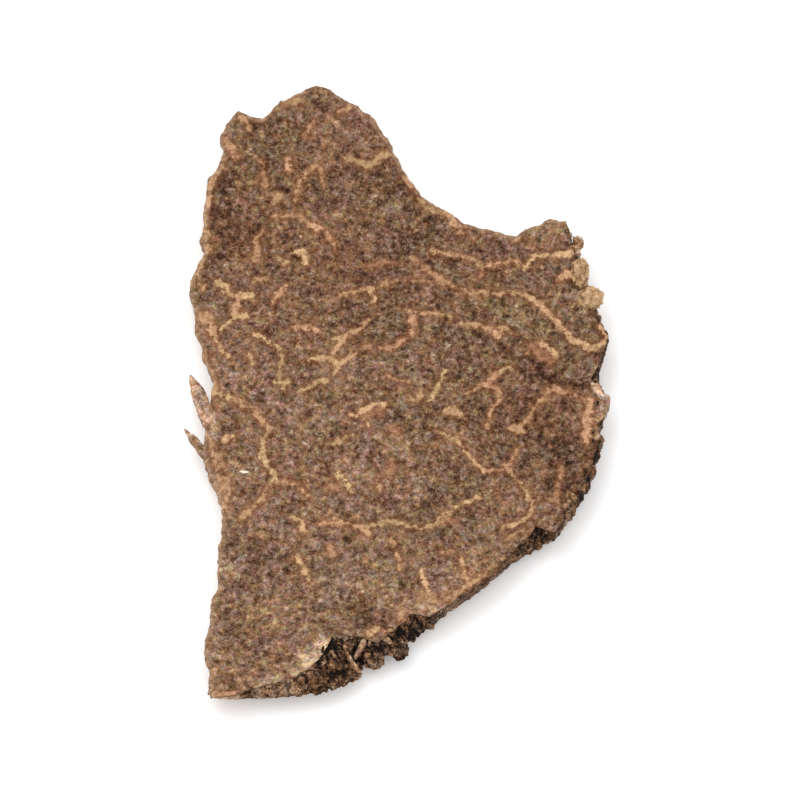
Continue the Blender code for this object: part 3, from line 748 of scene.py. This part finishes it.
# The warty rind round the two grown sides
rind = {
    "steps": (500, 400),
    "ring": 80,
    "outerShare": 0.74,  # of a ring's points
    "depth": 0.6 * mm,
    "proud": 0.02 * mm,
    "roundness": 0.35,
    "below": 0.08 * mm,  # its top stays under the face
    "floor": 0.03 * mm,
    "passes": 60,  # that even out its foot and the warts' height
    "endTaper": 0.7 * mm,
    # warts of the solid, one or two down the wall
    "solidSteps": (30, 38),
    "wartSeed": 7,
    "wartSpacing": 1.05 * mm,
    "wartRadii": (0.48 * mm, 0.74 * mm),
    "wartClearance": 0.12 * mm,
    "tallWall": 1.9 * mm,
    # the relief: knobs and plates by size, seed and how far their borders reach in
    "knobs": (0.9 * mm, 95, 0.35),
    "plates": (0.46 * mm, 99, 0.4),
    "stretch": 0.8,  # knobs and plates are this much closer together along the rind than down it
    "bend": 0.24 * mm,
    "bendSize": 0.8 * mm,
    "fineSize": 0.26 * mm,
    "swellShare": 0.42,
    "knobHeight": 0.30 * mm,
    "plateHeight": 0.12 * mm,
    "fineHeight": 0.035 * mm,
    "leastPlates": 0.45,  # what is left of plates and fine grain where the warts stand low
    "leastFine": 0.5,
    "cutBelow": 0.05 * mm,  # the knife took the warts off at the face
    "topShade": -0.2,  # painted shade: the rind's top, under the face's edge, is darker
    # lighter and darker places, partly the rind's own tone and partly painted: shade under the face's edge,
    # round the front knob and down the right side, and glints at the upper right corner; x and y in the
    # picture, radius in millimetres and strength
    "tonesAndShading": [
        (127, 629.5, 0.9, 0.05), (119, 631, 0.7, 0.5), (104, 632, 1, 1.6), (112.5, 631.5, 0.5, -0.9),
        (148, 613.5, 0.35, -1.2), (143, 614.5, 0.5, -0.6), (163, 610, 0.9, -0.6), (169, 607, 0.9, -0.6),
        (155.4, 618.4, 0.5, 0.8), (151, 620.5, 0.22, -1.2), (159.6, 618, 0.25, -1.2),
        (155.6, 623.6, 0.25, -0.8), (155, 613.6, 0.3, 0.4), (164, 616.6, 0.4, 0.6),
        (148.6, 620.4, 0.3, -0.3), (144.5, 615, 0.2, 0.5), (137, 626.5, 0.7, -0.4), (142.5, 624, 0.5, -0.5),
        (139.5, 621, 0.4, 0.7), (190, 597, 2.6, -0.2), (132.5, 628, 0.5, -0.4), (146.5, 626, 0.5, -0.6),
        (150.4, 625, 0.3, -0.8), (147, 617, 0.4, -1.1), (204, 585, 1.6, -0.3), (213, 578, 1, -0.6),
        (229, 560, 2, -0.3), (236, 538, 2, -0.3), (238, 515, 2.4, -0.3), (232, 495, 1.6, -0.2),
        (225.4, 473.6, 0.35, 0.9), (227.6, 478, 0.4, 1.2),
    ],
}


def onFace(place, depth):
    # the point that far under the face that the picture shows there
    x, y = plan(np.array(place, float))
    return np.array([x, y + setBack(depth), faceHeight(x, y) - depth])


def seenAt(place, height):
    # the point at that height over the table that the picture shows there
    x, y = plan(np.array(place, float))
    return np.array([x, y + setBack(sheet["thickness"] + lift(x, y) - height), height])


def solidSides():
    # edge and foot of the lower and the right wall in the solid's steps
    edges = []
    feet = []
    for points, count in zip((lowerRind, rightRind), rind["solidSteps"]):
        side = sampled(points, count)
        edges.append(plan(side[:, :2]))
        even = averaged(edges[-1], passes=4)
        feet.append(even + besides(even) * averaged(side[:, 2:3], passes=4) * mm)
    corner = (feet[1][0] + feet[0][-1]) / 2
    feet[1][0] = corner
    feet[0][-1] = corner
    return edges, feet


def wartPlaces():
    # middle and radius of each wart: the sides in the solid's own steps, and the same random draws
    random = np.random.default_rng(rind["wartSeed"])
    places = []
    spacing = rind["wartSpacing"]
    for upper, lower in zip(*solidSides()):
        upper = np.column_stack([upper, faceHeight(*upper.T)])
        lower = np.column_stack([lower, lift(*lower.T)])
        run = runLengths(upper)
        for stop in np.arange(spacing, run[-1] - spacing / 2, spacing):
            stops = [[np.interp(stop, run, axis) for axis in side.T] for side in (upper, lower)]
            edge, foot = np.array(stops)
            tall = np.linalg.norm(edge - foot) > rind["tallWall"]
            for share in (0.3, 0.8) if tall else (0.55,):
                shift = random.uniform(low=-0.12, high=0.12)
                radius = random.uniform(*rind["wartRadii"])
                random.uniform(0, 2 * math.pi, 3)  # the solid draws its warts' turns here
                middle = edge + (foot - edge) * (share + shift)
                middle[2] = max(middle[2], radius + rind["wartClearance"])
                middle[2] = min(middle[2], edge[2] - radius / 2)
                places.append((middle, radius))
    return places


def gridNormals(points):
    # the cross product of the two ways across a grid that closes on itself along its second way
    wrapped = np.concatenate([points[:, -1:], points, points[:, :1]], axis=1)
    normal = np.cross(np.gradient(points, axis=0), (wrapped[:, 2:] - wrapped[:, :-2]) / 2)
    tiny = 1e-12
    return normal / np.maximum(np.linalg.norm(normal, axis=-1, keepdims=True), tiny)


def pushedOut(points, normals, warts):
    # how far each point P goes along its normal N to the nearest wart's sphere of middle C and radius r:
    # b + sqrt(r^2 - |C - P|^2 + b^2), where b = (C - P).N
    height = np.zeros(points.shape[:-1])
    for middle, radius in warts:
        toMiddle = middle - points
        along = np.sum(toMiddle * normals, axis=-1)
        inside = radius**2 - np.sum(toMiddle**2, axis=-1) + along**2
        top = along + np.sqrt(np.maximum(inside, 0))
        height = np.where(inside > 0, np.maximum(height, top), height)
    return height


def bareRings():
    # rings round the rind: middle + up * |sin|^p * sign + out * |cos|^p * sign, most points on the outside;
    # also how high the warts stand, how far along each ring is, each point's rise and its share of the relief
    grown = list(zip((lowerRind, rightRind), rind["steps"]))
    sides = [sampled(points, count) for points, count in grown]
    feet = [flaredSide(points, count, 0.0) for points, count in grown]
    side = np.concatenate([sides[0][:-1], sides[1]])
    edge = plan(side[:, :2])
    stand = averaged(side[:, 3:], rind["passes"])
    foot = averaged(np.concatenate([feet[0][:-1], feet[1]]), rind["passes"])
    out = outward(edge, reach=0.8 * mm)
    out = np.column_stack([out, np.zeros(len(out))])
    edge = np.column_stack([edge, faceHeight(*edge.T) - rind["below"]])
    foot = np.column_stack([foot, lift(*foot.T) + rind["floor"]])

    steps = np.arange(rind["ring"]) / rind["ring"]
    outer = rind["outerShare"]
    turn = np.where(steps < outer, -0.5 + steps / outer, 0.5 + (steps - outer) / (1 - outer)) * math.pi
    rise, reach = (np.sign(wave) * np.abs(wave) ** rind["roundness"] for wave in (np.sin(turn), np.cos(turn)))
    run = runLengths(edge)
    ends = np.minimum(run, run[-1] - run) / rind["endTaper"]
    least = 0.02
    taper = np.sqrt(1 - (1 - np.clip(ends, least, 1)) ** 2)[:, None]
    middle = (edge + foot) / 2 + out * (rind["proud"] - rind["depth"] / 2)
    up = (edge - foot) / 2 * taper
    across = out * rind["depth"] / 2 * taper
    ring = middle[:, None] + up[:, None] * rise[None, :, None] + across[:, None] * reach[None, :, None]
    show = smoothStep(np.cos(turn), low=-0.05, high=0.3)[None] * smoothStep(taper, low=0.2, high=0.9)
    return ring, stand, run, rise, show


def domes(laid, size, seed, border):
    # a dome on each cell: step of the way from its border * (top - fall * nearest^2), and the cell's number
    top, fall = 1.15, 0.7
    nearest, second, own = cellNoise(laid, size, seed)
    return smoothStep(second - nearest, 0.0, border) * (top - fall * nearest**2), own


def rindShell(material):
    # the outer part swells to the warts, and breaks into many-sided knobs and smaller plates
    ring, stand, run, rise, show = bareRings()
    normals = gridNormals(ring)
    leastUp = -0.05
    normals[..., 2] = np.maximum(normals[..., 2], leastUp)
    normals = normals / np.linalg.norm(normals, axis=-1, keepdims=True)
    bend = np.stack([layeredNoise(ring, rind["bendSize"], seed) for seed in (91, 92, 93)], axis=-1)
    down = np.cumsum(np.linalg.norm(np.diff(ring, axis=1, prepend=ring[:, :1]), axis=-1), axis=1)
    laid = np.stack([run[:, None] + 0 * down, rind["stretch"] * down, 0 * down], axis=-1)
    laid = laid + rind["bend"] * bend
    knob, knobOwn = domes(laid, *rind["knobs"])
    plate, plateOwn = domes(laid, *rind["plates"])
    fine = layeredNoise(ring, rind["fineSize"], seed=97, layers=3, fall=0.6)
    swelling = pushedOut(ring, normals, wartPlaces())
    height = stand * (rind["swellShare"] * swelling + rind["knobHeight"] * knob * (0.5 + knobOwn))
    plated, rough = (least + (1 - least) * stand for least in (rind["leastPlates"], rind["leastFine"]))
    height = height + plated * rind["plateHeight"] * plate * (0.5 + plateOwn)
    height = height + rough * rind["fineHeight"] * fine
    ring = ring + normals * (show * height)[..., None]
    cut = faceHeight(ring[..., 0], ring[..., 1]) - rind["cutBelow"]
    leastTop = 0.1 * mm
    ring[..., 2] = np.clip(ring[..., 2], rind["floor"], np.maximum(cut, leastTop))

    level = np.stack([ring[..., 0], ring[..., 1] + setBack(ring[..., 2] - sheet["thickness"])], axis=-1)
    # painted shade under the face's edge: the top of each ring is darker where the warts stand high
    tone = rind["topShade"] * stand * smoothStep(rise, low=0.55, high=1.0)[None]
    made = {
        "knob": knob, "plate": plate, "own": weighted(shares=(0.6, 0.4), parts=(knobOwn, plateOwn)),
        "tone": tone + bells(level, rind["tonesAndShading"], flatPlan), "stand": stand + 0 * knob,
    }
    points, faces = cappedTube(ring)
    fields = {name: np.concatenate([values.ravel(), np.full(2, 0.5)]) for name, values in made.items()}
    dress(meshPiece("truffle_rind", points, faces, fields, material))
    print("rind:", len(faces) * 2, "triangles")


# Slivers torn half loose: root and tip in the picture, how far each lies under the face and half the width,
# in millimetres, how blunt the tip is, how rough the sides are, and how much lighter than the flesh
slivers = [
    {"name": "splinter_long", "root": (102.6, 545), "tip": (92.4, 521.6), "depths": (0.1, 0.4), "half": 0.5,
     "blunt": 6, "rough": 0.14, "tone": 0.7, "seed": 3},
    {"name": "splinter_short", "root": (99.8, 552), "tip": (90.4, 540.2), "depths": (0.25, 0.45),
     "half": 0.32, "blunt": 4, "rough": 0.2, "tone": 0.6, "seed": 5},
    {"name": "edge_flake_upper", "root": (231, 524.4), "tip": (236.6, 531.6), "depths": (0.05, 0.1),
     "half": 0.24, "blunt": 8, "rough": 0.3, "tone": 1.25, "seed": 9},
    {"name": "edge_flake_lower", "root": (236.2, 528.6), "tip": (235, 536.8), "depths": (0.05, 0.15),
     "half": 0.28, "blunt": 5, "rough": 0.3, "tone": 0.8, "seed": 11},
    {"name": "rind_flake_left", "root": (143, 611), "tip": (140.6, 621), "depths": (0.2, 0.7), "half": 0.17,
     "blunt": 3, "rough": 0.45, "tone": 0.1, "seed": 21},
    {"name": "rind_flake_middle", "root": (149.6, 611.8), "tip": (144, 621.6), "depths": (0.1, 0.5),
     "half": 0.26, "blunt": 4, "rough": 0.45, "tone": -0.9, "seed": 22},
    {"name": "rind_flake_right", "root": (152.8, 612.4), "tip": (149.4, 619.6), "depths": (0.1, 0.5),
     "half": 0.22, "blunt": 4, "rough": 0.45, "tone": 0.5, "seed": 23},
]


def turns(count):
    # the angles of the points round a ring
    return np.linspace(0, 2 * math.pi, count + 1)[None, :-1]


def sliver(part, material):
    # rings round the way from root to tip: half * (1 - share^blunt) plus noise, flattened upwards
    rings, flatness, squash, streakLength, streakTone = 60, 0.6, 0.45, 0.12, 0.5
    root, tip = (onFace(part[end], depth * mm) for end, depth in zip(("root", "tip"), part["depths"]))
    share = np.linspace(0, 1, rings)[:, None]
    turn = turns(count=28)
    length = np.linalg.norm(tip - root)
    way = (tip - root) / length
    side = np.cross(way, (0, 0, 1))
    side = side / np.linalg.norm(side)
    above = np.cross(side, way)
    half = part["half"] * mm * (1 - share ** part["blunt"]) * smoothStep(share, low=-0.25, high=0.2)
    least = 0.015 * mm
    half = half + least
    path = root + (tip - root) * share[..., None]
    flat = flatness * half * np.sin(turn)
    ring = path + side * (half * np.cos(turn))[..., None] + above * flat[..., None]
    rough = layeredNoise(ring * np.array([1, squash, 1]), size=0.5 * mm, seed=part["seed"], fall=0.6)
    ring = path + (ring - path) * (1 + part["rough"] * rough)[..., None]
    points, faces = cappedTube(ring)
    along = streakLength * length * share + 0 * turn
    strands = np.stack([half * np.cos(turn), half * np.sin(turn), along], axis=-1)
    streak = layeredNoise(strands, size=0.16 * mm, seed=part["seed"] + 50, layers=2, fall=0.7)
    streak = np.concatenate([streak.ravel(), np.zeros(2)])
    none = np.zeros(len(points))
    fields = {"vein": none - 1, "tone": part["tone"] + streakTone * streak, "grain": none, "rim": none + 1}
    dress(meshPiece(part["name"], points, faces, fields, material))


# Pale crumbs stuck on: place in the picture, radii across, along and up in millimetres, and how much lighter
crumbs = [
    {"name": "crumb_upper", "place": (227.2, 485.8), "radii": (0.64, 0.92, 0.46), "tone": 0, "seed": 13},
    {"name": "crumb_middle", "place": (231, 495.2), "radii": (0.8, 0.84, 0.46), "tone": 0.06, "seed": 17},
    {"name": "crumb_between", "place": (227.6, 490.8), "radii": (0.36, 0.34, 0.4), "tone": -0.05, "seed": 15},
    {"name": "crumb_lower", "place": (222.8, 564.6), "radii": (0.56, 0.48, 0.42), "tone": -0.22, "seed": 19},
    {"name": "crumb_speck", "place": (111.3, 555.5), "radii": (0.32, 0.13, 0.16), "tone": 1.3, "seed": 20},
]
# Knobs of the rind that stand out, with the height of their middle over the table
knobs = [
    {"name": "rind_knob_front", "place": (155.7, 620.2), "height": 0.88, "radii": (0.76, 0.74, 0.74),
     "tone": -0.1, "seed": 41},
    {"name": "rind_knob_second", "place": (164.6, 617), "height": 0.9, "radii": (0.62, 0.62, 0.55),
     "tone": -0.75, "seed": 43},
    {"name": "rind_knob_left", "place": (146.6, 624.6), "height": 0.62, "radii": (0.5, 0.5, 0.46),
     "tone": 0.1, "seed": 45},
    {"name": "rind_knob_corner", "place": (226.4, 476.2), "height": 1.95, "radii": (0.34, 0.56, 0.4),
     "tone": 0.7, "seed": 47},
]


def lumpyBall(part, middle, material):
    # a ball of latitude and longitude, radii * (body + layered noise), lumpy with two sizes of cell noise
    rings, body, beadLight, top, fall = 80, 0.95, 0.4, 1.3, 1.2
    latitude = np.linspace(0, math.pi, rings + 2)[1:-1, None]
    longitude = turns(count=128)
    sine = np.sin(latitude)
    upward = np.cos(latitude) * np.ones_like(longitude)
    ball = np.stack([sine * np.cos(longitude), sine * np.sin(longitude), upward], axis=-1)
    rough = layeredNoise(ball, size=0.9, seed=part["seed"])
    lump = cellNoise(ball, size=0.6, seed=part["seed"] + 3)[0]
    bead = cellNoise(ball, size=0.28, seed=part["seed"] + 5)[0]
    form = weighted((0.2, 0.3, 0.12), (rough, 0.5 - lump, 0.5 - bead), start=body)
    points, faces = cappedTube(middle + ball * form[..., None] * (np.array(part["radii"]) * mm))
    points[:, 2] = np.maximum(points[:, 2], 0)
    # painted light on the middle of each lump and painted shade between the lumps, for the crumb and rind
    # materials
    made = {"lump": 1 - lump - beadLight * bead, "knob": top - fall * lump, "plate": top - fall * bead}
    fields = {name: np.concatenate([values.ravel(), np.ones(2)]) for name, values in made.items()}
    for name, value in {"own": 0.5, "stand": 1.0, "tone": part["tone"]}.items():
        fields[name] = np.full(len(points), value)
    dress(meshPiece(part["name"], points, faces, fields, material))


class Wire:
    # an output of a shader node, with which numbers are added, taken away and multiplied
    def __init__(self, paint, socket):
        self.paint = paint
        self.socket = socket

    def math(self, operation, *values):
        return self.paint.add("ShaderNodeMath", {"operation": operation}, dict(enumerate(values)))

    def __add__(self, other):
        return self.math("ADD", self, other)

    def __radd__(self, other):
        return self.math("ADD", other, self)

    def __sub__(self, other):
        return self.math("SUBTRACT", self, other)

    def __rsub__(self, other):
        return self.math("SUBTRACT", other, self)

    def __mul__(self, other):
        return self.math("MULTIPLY", self, other)

    def __rmul__(self, other):
        return self.math("MULTIPLY", other, self)


class Paint:
    # a material and the making of its nodes
    spread = 2.6  # brings the noise out to about -1 and 1

    def __init__(self, name):
        self.material = bpy.data.materials.new(name)
        self.material.use_nodes = True
        self.tree = self.material.node_tree
        self.shader = self.tree.nodes["Principled BSDF"]
        self.place = self.add("ShaderNodeTexCoord", {}, {}, "Object")

    def add(self, kind, settings, values, output=0):
        # makes a node: its settings first, a ramp's stops among them, then its sockets' values or links
        node = self.tree.nodes.new(kind)
        for setting, value in settings.items():
            if setting == "stops":
                self.fillRamp(node.color_ramp, value)
            else:
                setattr(node, setting, value)
        for socket, value in values.items():
            self.give(node.inputs[socket], value)
        return Wire(self, node.outputs[output])

    def fillRamp(self, ramp, stops):
        while len(ramp.elements) < len(stops):
            ramp.elements.new(1.0)
        for element, (position, *colour) in zip(ramp.elements, stops):
            element.position = position
            element.color = seen(*colour)

    def give(self, socket, value):
        if isinstance(value, Wire):
            self.tree.links.new(value.socket, socket)
        else:
            socket.default_value = value

    def noise(self, size, detail, roughness, seed):
        # about -1 to 1, with patches of that size
        values = {"Vector": self.place, "W": seed, "Scale": 1 / size}
        values.update({"Detail": detail, "Roughness": roughness})
        made = self.add("ShaderNodeTexNoise", {"noise_dimensions": "4D"}, values)
        return (made - 0.5) * self.spread

    def field(self, name):
        return self.add("ShaderNodeAttribute", {"attribute_name": name}, {}, "Fac")

    def step(self, value, low, high):
        # 0 below low and 1 above high
        values = {"Value": value, "From Min": low, "From Max": high}
        return self.add("ShaderNodeMapRange", {"interpolation_type": "SMOOTHSTEP"}, values)

    def ramp(self, value, stops):
        return self.add("ShaderNodeValToRGB", {"stops": stops}, {"Fac": value})

    def mix(self, factor, first, second, blend="MIX"):
        settings = {"data_type": "RGBA", "blend_type": blend, "clamp_factor": True}
        return self.add("ShaderNodeMix", settings, {0: factor, 6: first, 7: second}, 2)

    def tinted(self, colour, factor, tints):
        # a colour times a tint that goes from the first to the second by the factor
        first, second = ((*tint, 1.0) for tint in tints)
        return self.mix(1.0, colour, self.mix(factor, first, second), "MULTIPLY")

    def bump(self, height, distance):
        return self.add("ShaderNodeBump", {}, {"Height": height, "Distance": distance, "Strength": 1.0})

    def finish(self, colour, roughness, normal, shine):
        given = {"Base Color": colour, "Roughness": roughness, "Normal": normal, "Specular IOR Level": shine}
        for socket, value in given.items():
            self.give(self.shader.inputs[socket], value)
        return self.material


def seen(red, green, blue):
    # a colour as a screen gives it, from 0 to 255, made linear
    share = np.array([red, green, blue]) / 255
    linear = np.where(share <= 0.04045, share / 12.92, ((share + 0.055) / 1.055) ** 2.4)
    return (*(float(part) for part in linear), 1.0)


fleshFinish = {
    # brightness as a screen gives it, from 0 to 1, and the colour that goes with it
    "shades": [
        (0.10, 44, 19, 4), (0.27, 95, 64, 42), (0.43, 136, 105, 82), (0.55, 167, 136, 111),
        (0.70, 207, 176, 150), (0.85, 240, 212, 188),
    ],
    # the veins' darker rust-brown fringe: partly their own colour, partly painted shadow beside the raised
    # veins
    "fringeAndShadow": seen(124, 77, 47),
    "dullYellow": seen(156, 128, 90),
    "dullRed": seen(162, 110, 80),
    "paleYellow": seen(210, 177, 130),
    "paleRed": seen(208, 161, 129),
    "rim": seen(186, 152, 122),
    # size, detail, roughness and seed of patch, mottle, clump, grain, fine, speck, thread, yellow and red
    "noises": [
        (4.0 * mm, 2, 0.5, 1), (1.2 * mm, 2, 0.6, 2), (0.5 * mm, 2, 0.6, 3), (0.26 * mm, 3, 0.75, 4),
        (0.11 * mm, 2, 0.6, 9), (0.34 * mm, 1, 0.5, 5), (0.9 * mm, 1, 0.5, 6), (0.42 * mm, 3, 0.7, 7),
        (0.5 * mm, 3, 0.7, 8),
    ],
    # the brightness: the average, and shares of grain, fine, clump, mottle, patch, relief, tone, cracks,
    # specks and pits
    # relief paints light on raised places and shade in low ones, cracks paint shade in their grooves, and
    # tone is partly painted shade in the dips
    "average": 0.372,
    "light": (0.41, 0.16, 0.23, 0.09, 0.06, 0.03, 0.2, -0.26, 0.12, -0.08),
    "yellowTints": ((0.92, 0.97, 1.22), (1.04, 1.02, 0.78)),
    "redTints": ((0.90, 1.05, 1.0), (1.12, 0.95, 0.98)),
    "threadShare": 0.5,
    "ragged": (0.18, 0.23, 0.10),  # how ragged grain, clump and mottle make the veins
    "fringeAndShadowShare": 0.5,
    "veinShares": (0.46, 0.44),
    "veinTints": ((0.66, 0.62, 0.58), (1.3, 1.3, 1.3)),
    "rimRagged": (0.2, 0.2, 0.3),
    "rimShare": 0.6,
    "rimTints": ((0.5, 0.46, 0.42), (1.3, 1.3, 1.3)),
    "bumps": (1.2, 0.6, 0.4),  # shares of grain, clump and vein
    "bumpHeight": 0.045 * mm,
}


def fleshMaterial():
    # grained flesh, with ragged veins and a pale torn rim laid over it
    paint = Paint("dried_flesh")
    noises = [paint.noise(*row) for row in fleshFinish["noises"]]
    patch, mottle, clump, grain, fine, speck, thread, yellow, reddish = noises

    # fine grain with a few bright specks and dark pits, on soft clumps and patches; grain and clumps also
    # shape the bump, so their brightness is partly painted light on high places and painted shade in low ones
    parts = [grain, fine, clump, mottle, patch, *(paint.field(name) for name in ("grain", "tone", "crack"))]
    parts += [paint.step(speck, low=0.32, high=0.6), paint.step(speck, low=-0.32, high=-0.6)]
    # the relief, tone and crack fields add painted light and shade: lighter on raised places, darker in dips
    # and cracks
    light = weighted(fleshFinish["light"], parts, start=fleshFinish["average"])
    flesh = paint.ramp(light, fleshFinish["shades"])

    # its hue wanders between yellow and violet, and between red and green
    bend = 0.3
    yellow = paint.step(yellow + bend * mottle, low=-0.4, high=0.4)
    reddish = paint.step(reddish + bend * patch, low=-0.4, high=0.4)
    flesh = paint.tinted(flesh, yellow, fleshFinish["yellowTints"])
    flesh = paint.tinted(flesh, reddish, fleshFinish["redTints"])

    # faint threads between the veins, where one soft noise passes through its middle value
    threads = paint.step(thread.math("ABSOLUTE", thread) + 0.1 * grain, low=0.06, high=0.0)
    threads = threads * paint.step(mottle + 0.6 * patch, low=-0.1, high=0.4)
    flesh = paint.mix(threads * fleshFinish["threadShare"], flesh, fleshFinish["dullRed"])

    # veins: the field of the mesh with ragged sides, a darker rust-brown fringe along them that is partly
    # their own colour and partly painted shadow beside the raised vein, and a pale core
    pale = paint.field("pale")
    red = paint.field("red")
    coarse = (grain, clump, mottle)
    ragged = weighted(fleshFinish["ragged"], coarse, start=paint.field("vein") - 0.005)
    fringeAndShadow = paint.step(ragged, low=-0.36, high=-0.02)
    vein = paint.step(ragged, low=-0.13, high=0.10)
    core = paint.step(ragged + 0.1 * grain, low=-0.06, high=0.14)
    dull = paint.mix(red, fleshFinish["dullYellow"], fleshFinish["dullRed"])
    bright = paint.mix(red, fleshFinish["paleYellow"], fleshFinish["paleRed"])
    shade = paint.step(grain, low=-0.4, high=0.4)
    veined = paint.tinted(paint.mix(core * pale, dull, bright), shade, fleshFinish["veinTints"])
    colour = paint.mix(fringeAndShadow * fleshFinish["fringeAndShadowShare"], flesh, fleshFinish["fringeAndShadow"])
    least, more = fleshFinish["veinShares"]
    colour = paint.mix(vein * (least + more * pale), colour, veined)

    # the torn rim is paler, in broken stretches
    rim = weighted(fleshFinish["rimRagged"], coarse, start=paint.field("rim"))
    rim = paint.step(rim, low=0.34, high=0.04) * fleshFinish["rimShare"]
    colour = paint.mix(rim, colour, paint.tinted(fleshFinish["rim"], shade, fleshFinish["rimTints"]))
    normal = paint.bump(weighted(fleshFinish["bumps"], (grain, clump, vein)), fleshFinish["bumpHeight"])
    return paint.finish(colour, roughness=0.9, normal=normal, shine=0.2)


rindFinish = {
    "shades": [
        (0.05, 14, 5, 1), (0.16, 52, 33, 19), (0.31, 104, 77, 55), (0.45, 146, 115, 88),
        (0.66, 198, 168, 137), (0.85, 232, 210, 186),
    ],
    "average": 0.34,
    # size, detail, roughness and seed of mottle, grain, fine and warm
    "noises": [(0.7 * mm, 2, 0.6, 2), (0.2 * mm, 3, 0.7, 3), (0.1 * mm, 2, 0.6, 9), (0.7 * mm, 2, 0.6, 5)],
    "low": -0.55,
    # knobs and plates paint shade between them and light on their tops
    "forms": (0.30, 0.14, 0.5),  # shares of knobs, plates and the number of their own
    "least": 0.25,  # share of the forms that is left where the warts stand low
    "light": (0.12, 0.45, 0.3, 0.22),  # shares of mottle, grain, fine and tone
    "tints": ((0.88, 0.98, 1.16), (1.14, 0.98, 0.80)),
}


def rindMaterial():
    # darkest between the knobs and plates and lightest on them, painted shade and light, most where the warts
    # stand high; each one also has its own tone
    paint = Paint("warty_rind")
    mottle, grain, fine, warm = (paint.noise(*row) for row in rindFinish["noises"])
    parts = [paint.field(name) for name in ("knob", "plate", "own")]
    forms = weighted(rindFinish["forms"], parts, start=rindFinish["low"])
    least = rindFinish["least"]
    light = rindFinish["average"] + (least + (1 - least) * paint.field("stand")) * forms
    light = weighted(rindFinish["light"], (mottle, grain, fine, paint.field("tone")), start=light)
    colour = paint.ramp(light, rindFinish["shades"])
    colour = paint.tinted(colour, paint.step(warm, low=-0.4, high=0.4), rindFinish["tints"])
    normal = paint.bump(0.6 * grain + 0.3 * mottle, distance=0.04 * mm)
    return paint.finish(colour, roughness=0.7 - 0.12 * mottle, normal=normal, shine=0.12)


crumbFinish = {
    "shades": [
        (0.22, 98, 68, 42), (0.48, 170, 135, 98), (0.72, 204, 170, 131), (0.93, 228, 200, 166),
        (1.0, 250, 238, 220),
    ],
    "average": 0.335,
    "noises": [(0.5 * mm, 2, 0.6, 2), (0.16 * mm, 2, 0.6, 3)],
    "light": (0.1, 0.3, 0.5, 1.0),  # shares of mottle, grain, lump and tone
}


def crumbMaterial():
    # painted light on the lumps and painted shade between them
    paint = Paint("pale_crumb")
    mottle, grain = (paint.noise(*row) for row in crumbFinish["noises"])
    parts = (mottle, grain, paint.field("lump"), paint.field("tone"))
    light = weighted(crumbFinish["light"], parts, start=crumbFinish["average"])
    colour = paint.ramp(light, crumbFinish["shades"])
    normal = paint.bump(grain + mottle, distance=0.04 * mm)
    return paint.finish(colour, roughness=0.9, normal=normal, shine=0.2)


stage = {
    "floorRadii": (0.001, 1.2),
    "floorRings": 12,
    "floorRound": 96,
    "floorColour": (0.96, 0.96, 0.96, 1.0),
    "floorRoughness": 0.9,
    "floorGlow": 0.15,
    "skyColour": (1.0, 1.0, 1.0, 1.0),
    "skyStrength": 1.07,
    "keyPlace": (-0.20, 0.20, 0.44),
    "keySize": 0.40,
    "keyPower": 0.66,
    "lens": 1000.0,
    "sensor": 36.0,
    "clip": (0.01, 50.0),
}


def floor():
    # rings round the middle: (r cos a, r sin a, 0)
    radius = np.linspace(*stage["floorRadii"], stage["floorRings"])[:, None]
    angle = turns(stage["floorRound"])
    ring = np.stack([radius * np.cos(angle), radius * np.sin(angle), 0 * radius * angle], axis=-1)
    index = np.arange(radius.size * angle.size).reshape(radius.size, angle.size)
    faces = gridFaces(closed(index)).tolist() + [index[0].tolist()]
    made = bpy.data.materials.new("pale_floor")
    made.use_nodes = True
    shader = made.node_tree.nodes["Principled BSDF"]
    given = {"Base Color": "floorColour", "Roughness": "floorRoughness", "Emission Color": "floorColour",
             "Emission Strength": "floorGlow"}
    for socket, value in given.items():
        shader.inputs[socket].default_value = stage[value]
    meshPiece("floor", ring.reshape(-1, 3), faces, {}, made)


def lights():
    # an even white sky and one soft lamp
    world = bpy.data.worlds.new("soft_room")
    bpy.context.scene.world = world
    world.use_nodes = True
    background = world.node_tree.nodes["Background"]
    background.inputs["Color"].default_value = stage["skyColour"]
    background.inputs["Strength"].default_value = stage["skyStrength"]
    key = bpy.data.objects.new("key", bpy.data.lights.new("key", "AREA"))
    key.data.size = stage["keySize"]
    key.data.energy = stage["keyPower"]
    key.location = stage["keyPlace"]
    key.rotation_euler = (-Vector(stage["keyPlace"])).to_track_quat("-Z", "Y").to_euler()
    bpy.context.scene.collection.objects.link(key)


def camera():
    # far off with a long lens, because the slice was a small part of its picture
    made = bpy.data.objects.new("camera", bpy.data.cameras.new("camera"))
    made.data.sensor_width = stage["sensor"]
    made.data.lens = stage["lens"]
    pixel = picture["realWidth"] / picture["width"]
    frameWidth = picture["renderWidth"] / picture["scale"] * pixel
    distance = frameWidth * stage["lens"] / stage["sensor"]
    elevation = picture["viewElevation"]
    away = Vector((0.0, -math.cos(elevation), math.sin(elevation)))
    made.location = Vector((0.0, 0.0, sheet["thickness"])) + away * distance
    made.rotation_euler = (-away).to_track_quat("-Z", "Y").to_euler()
    made.data.clip_start, made.data.clip_end = stage["clip"]
    bpy.context.scene.collection.objects.link(made)
    bpy.context.scene.camera = made


flesh = fleshMaterial()
fleshSlice(flesh)
rindSkin = rindMaterial()
rindShell(rindSkin)
pale = crumbMaterial()
for part in slivers:
    sliver(part, flesh)
for part in crumbs:
    lumpyBall(part, onFace(part["place"], part["radii"][2] * mm / 3), pale)
for part in knobs:
    lumpyBall(part, seenAt(part["place"], part["height"] * mm), rindSkin)
print("slivers and crumbs made")
floor()
lights()
camera()
bpy.context.scene.view_settings.view_transform = "Standard"
print("stage set")
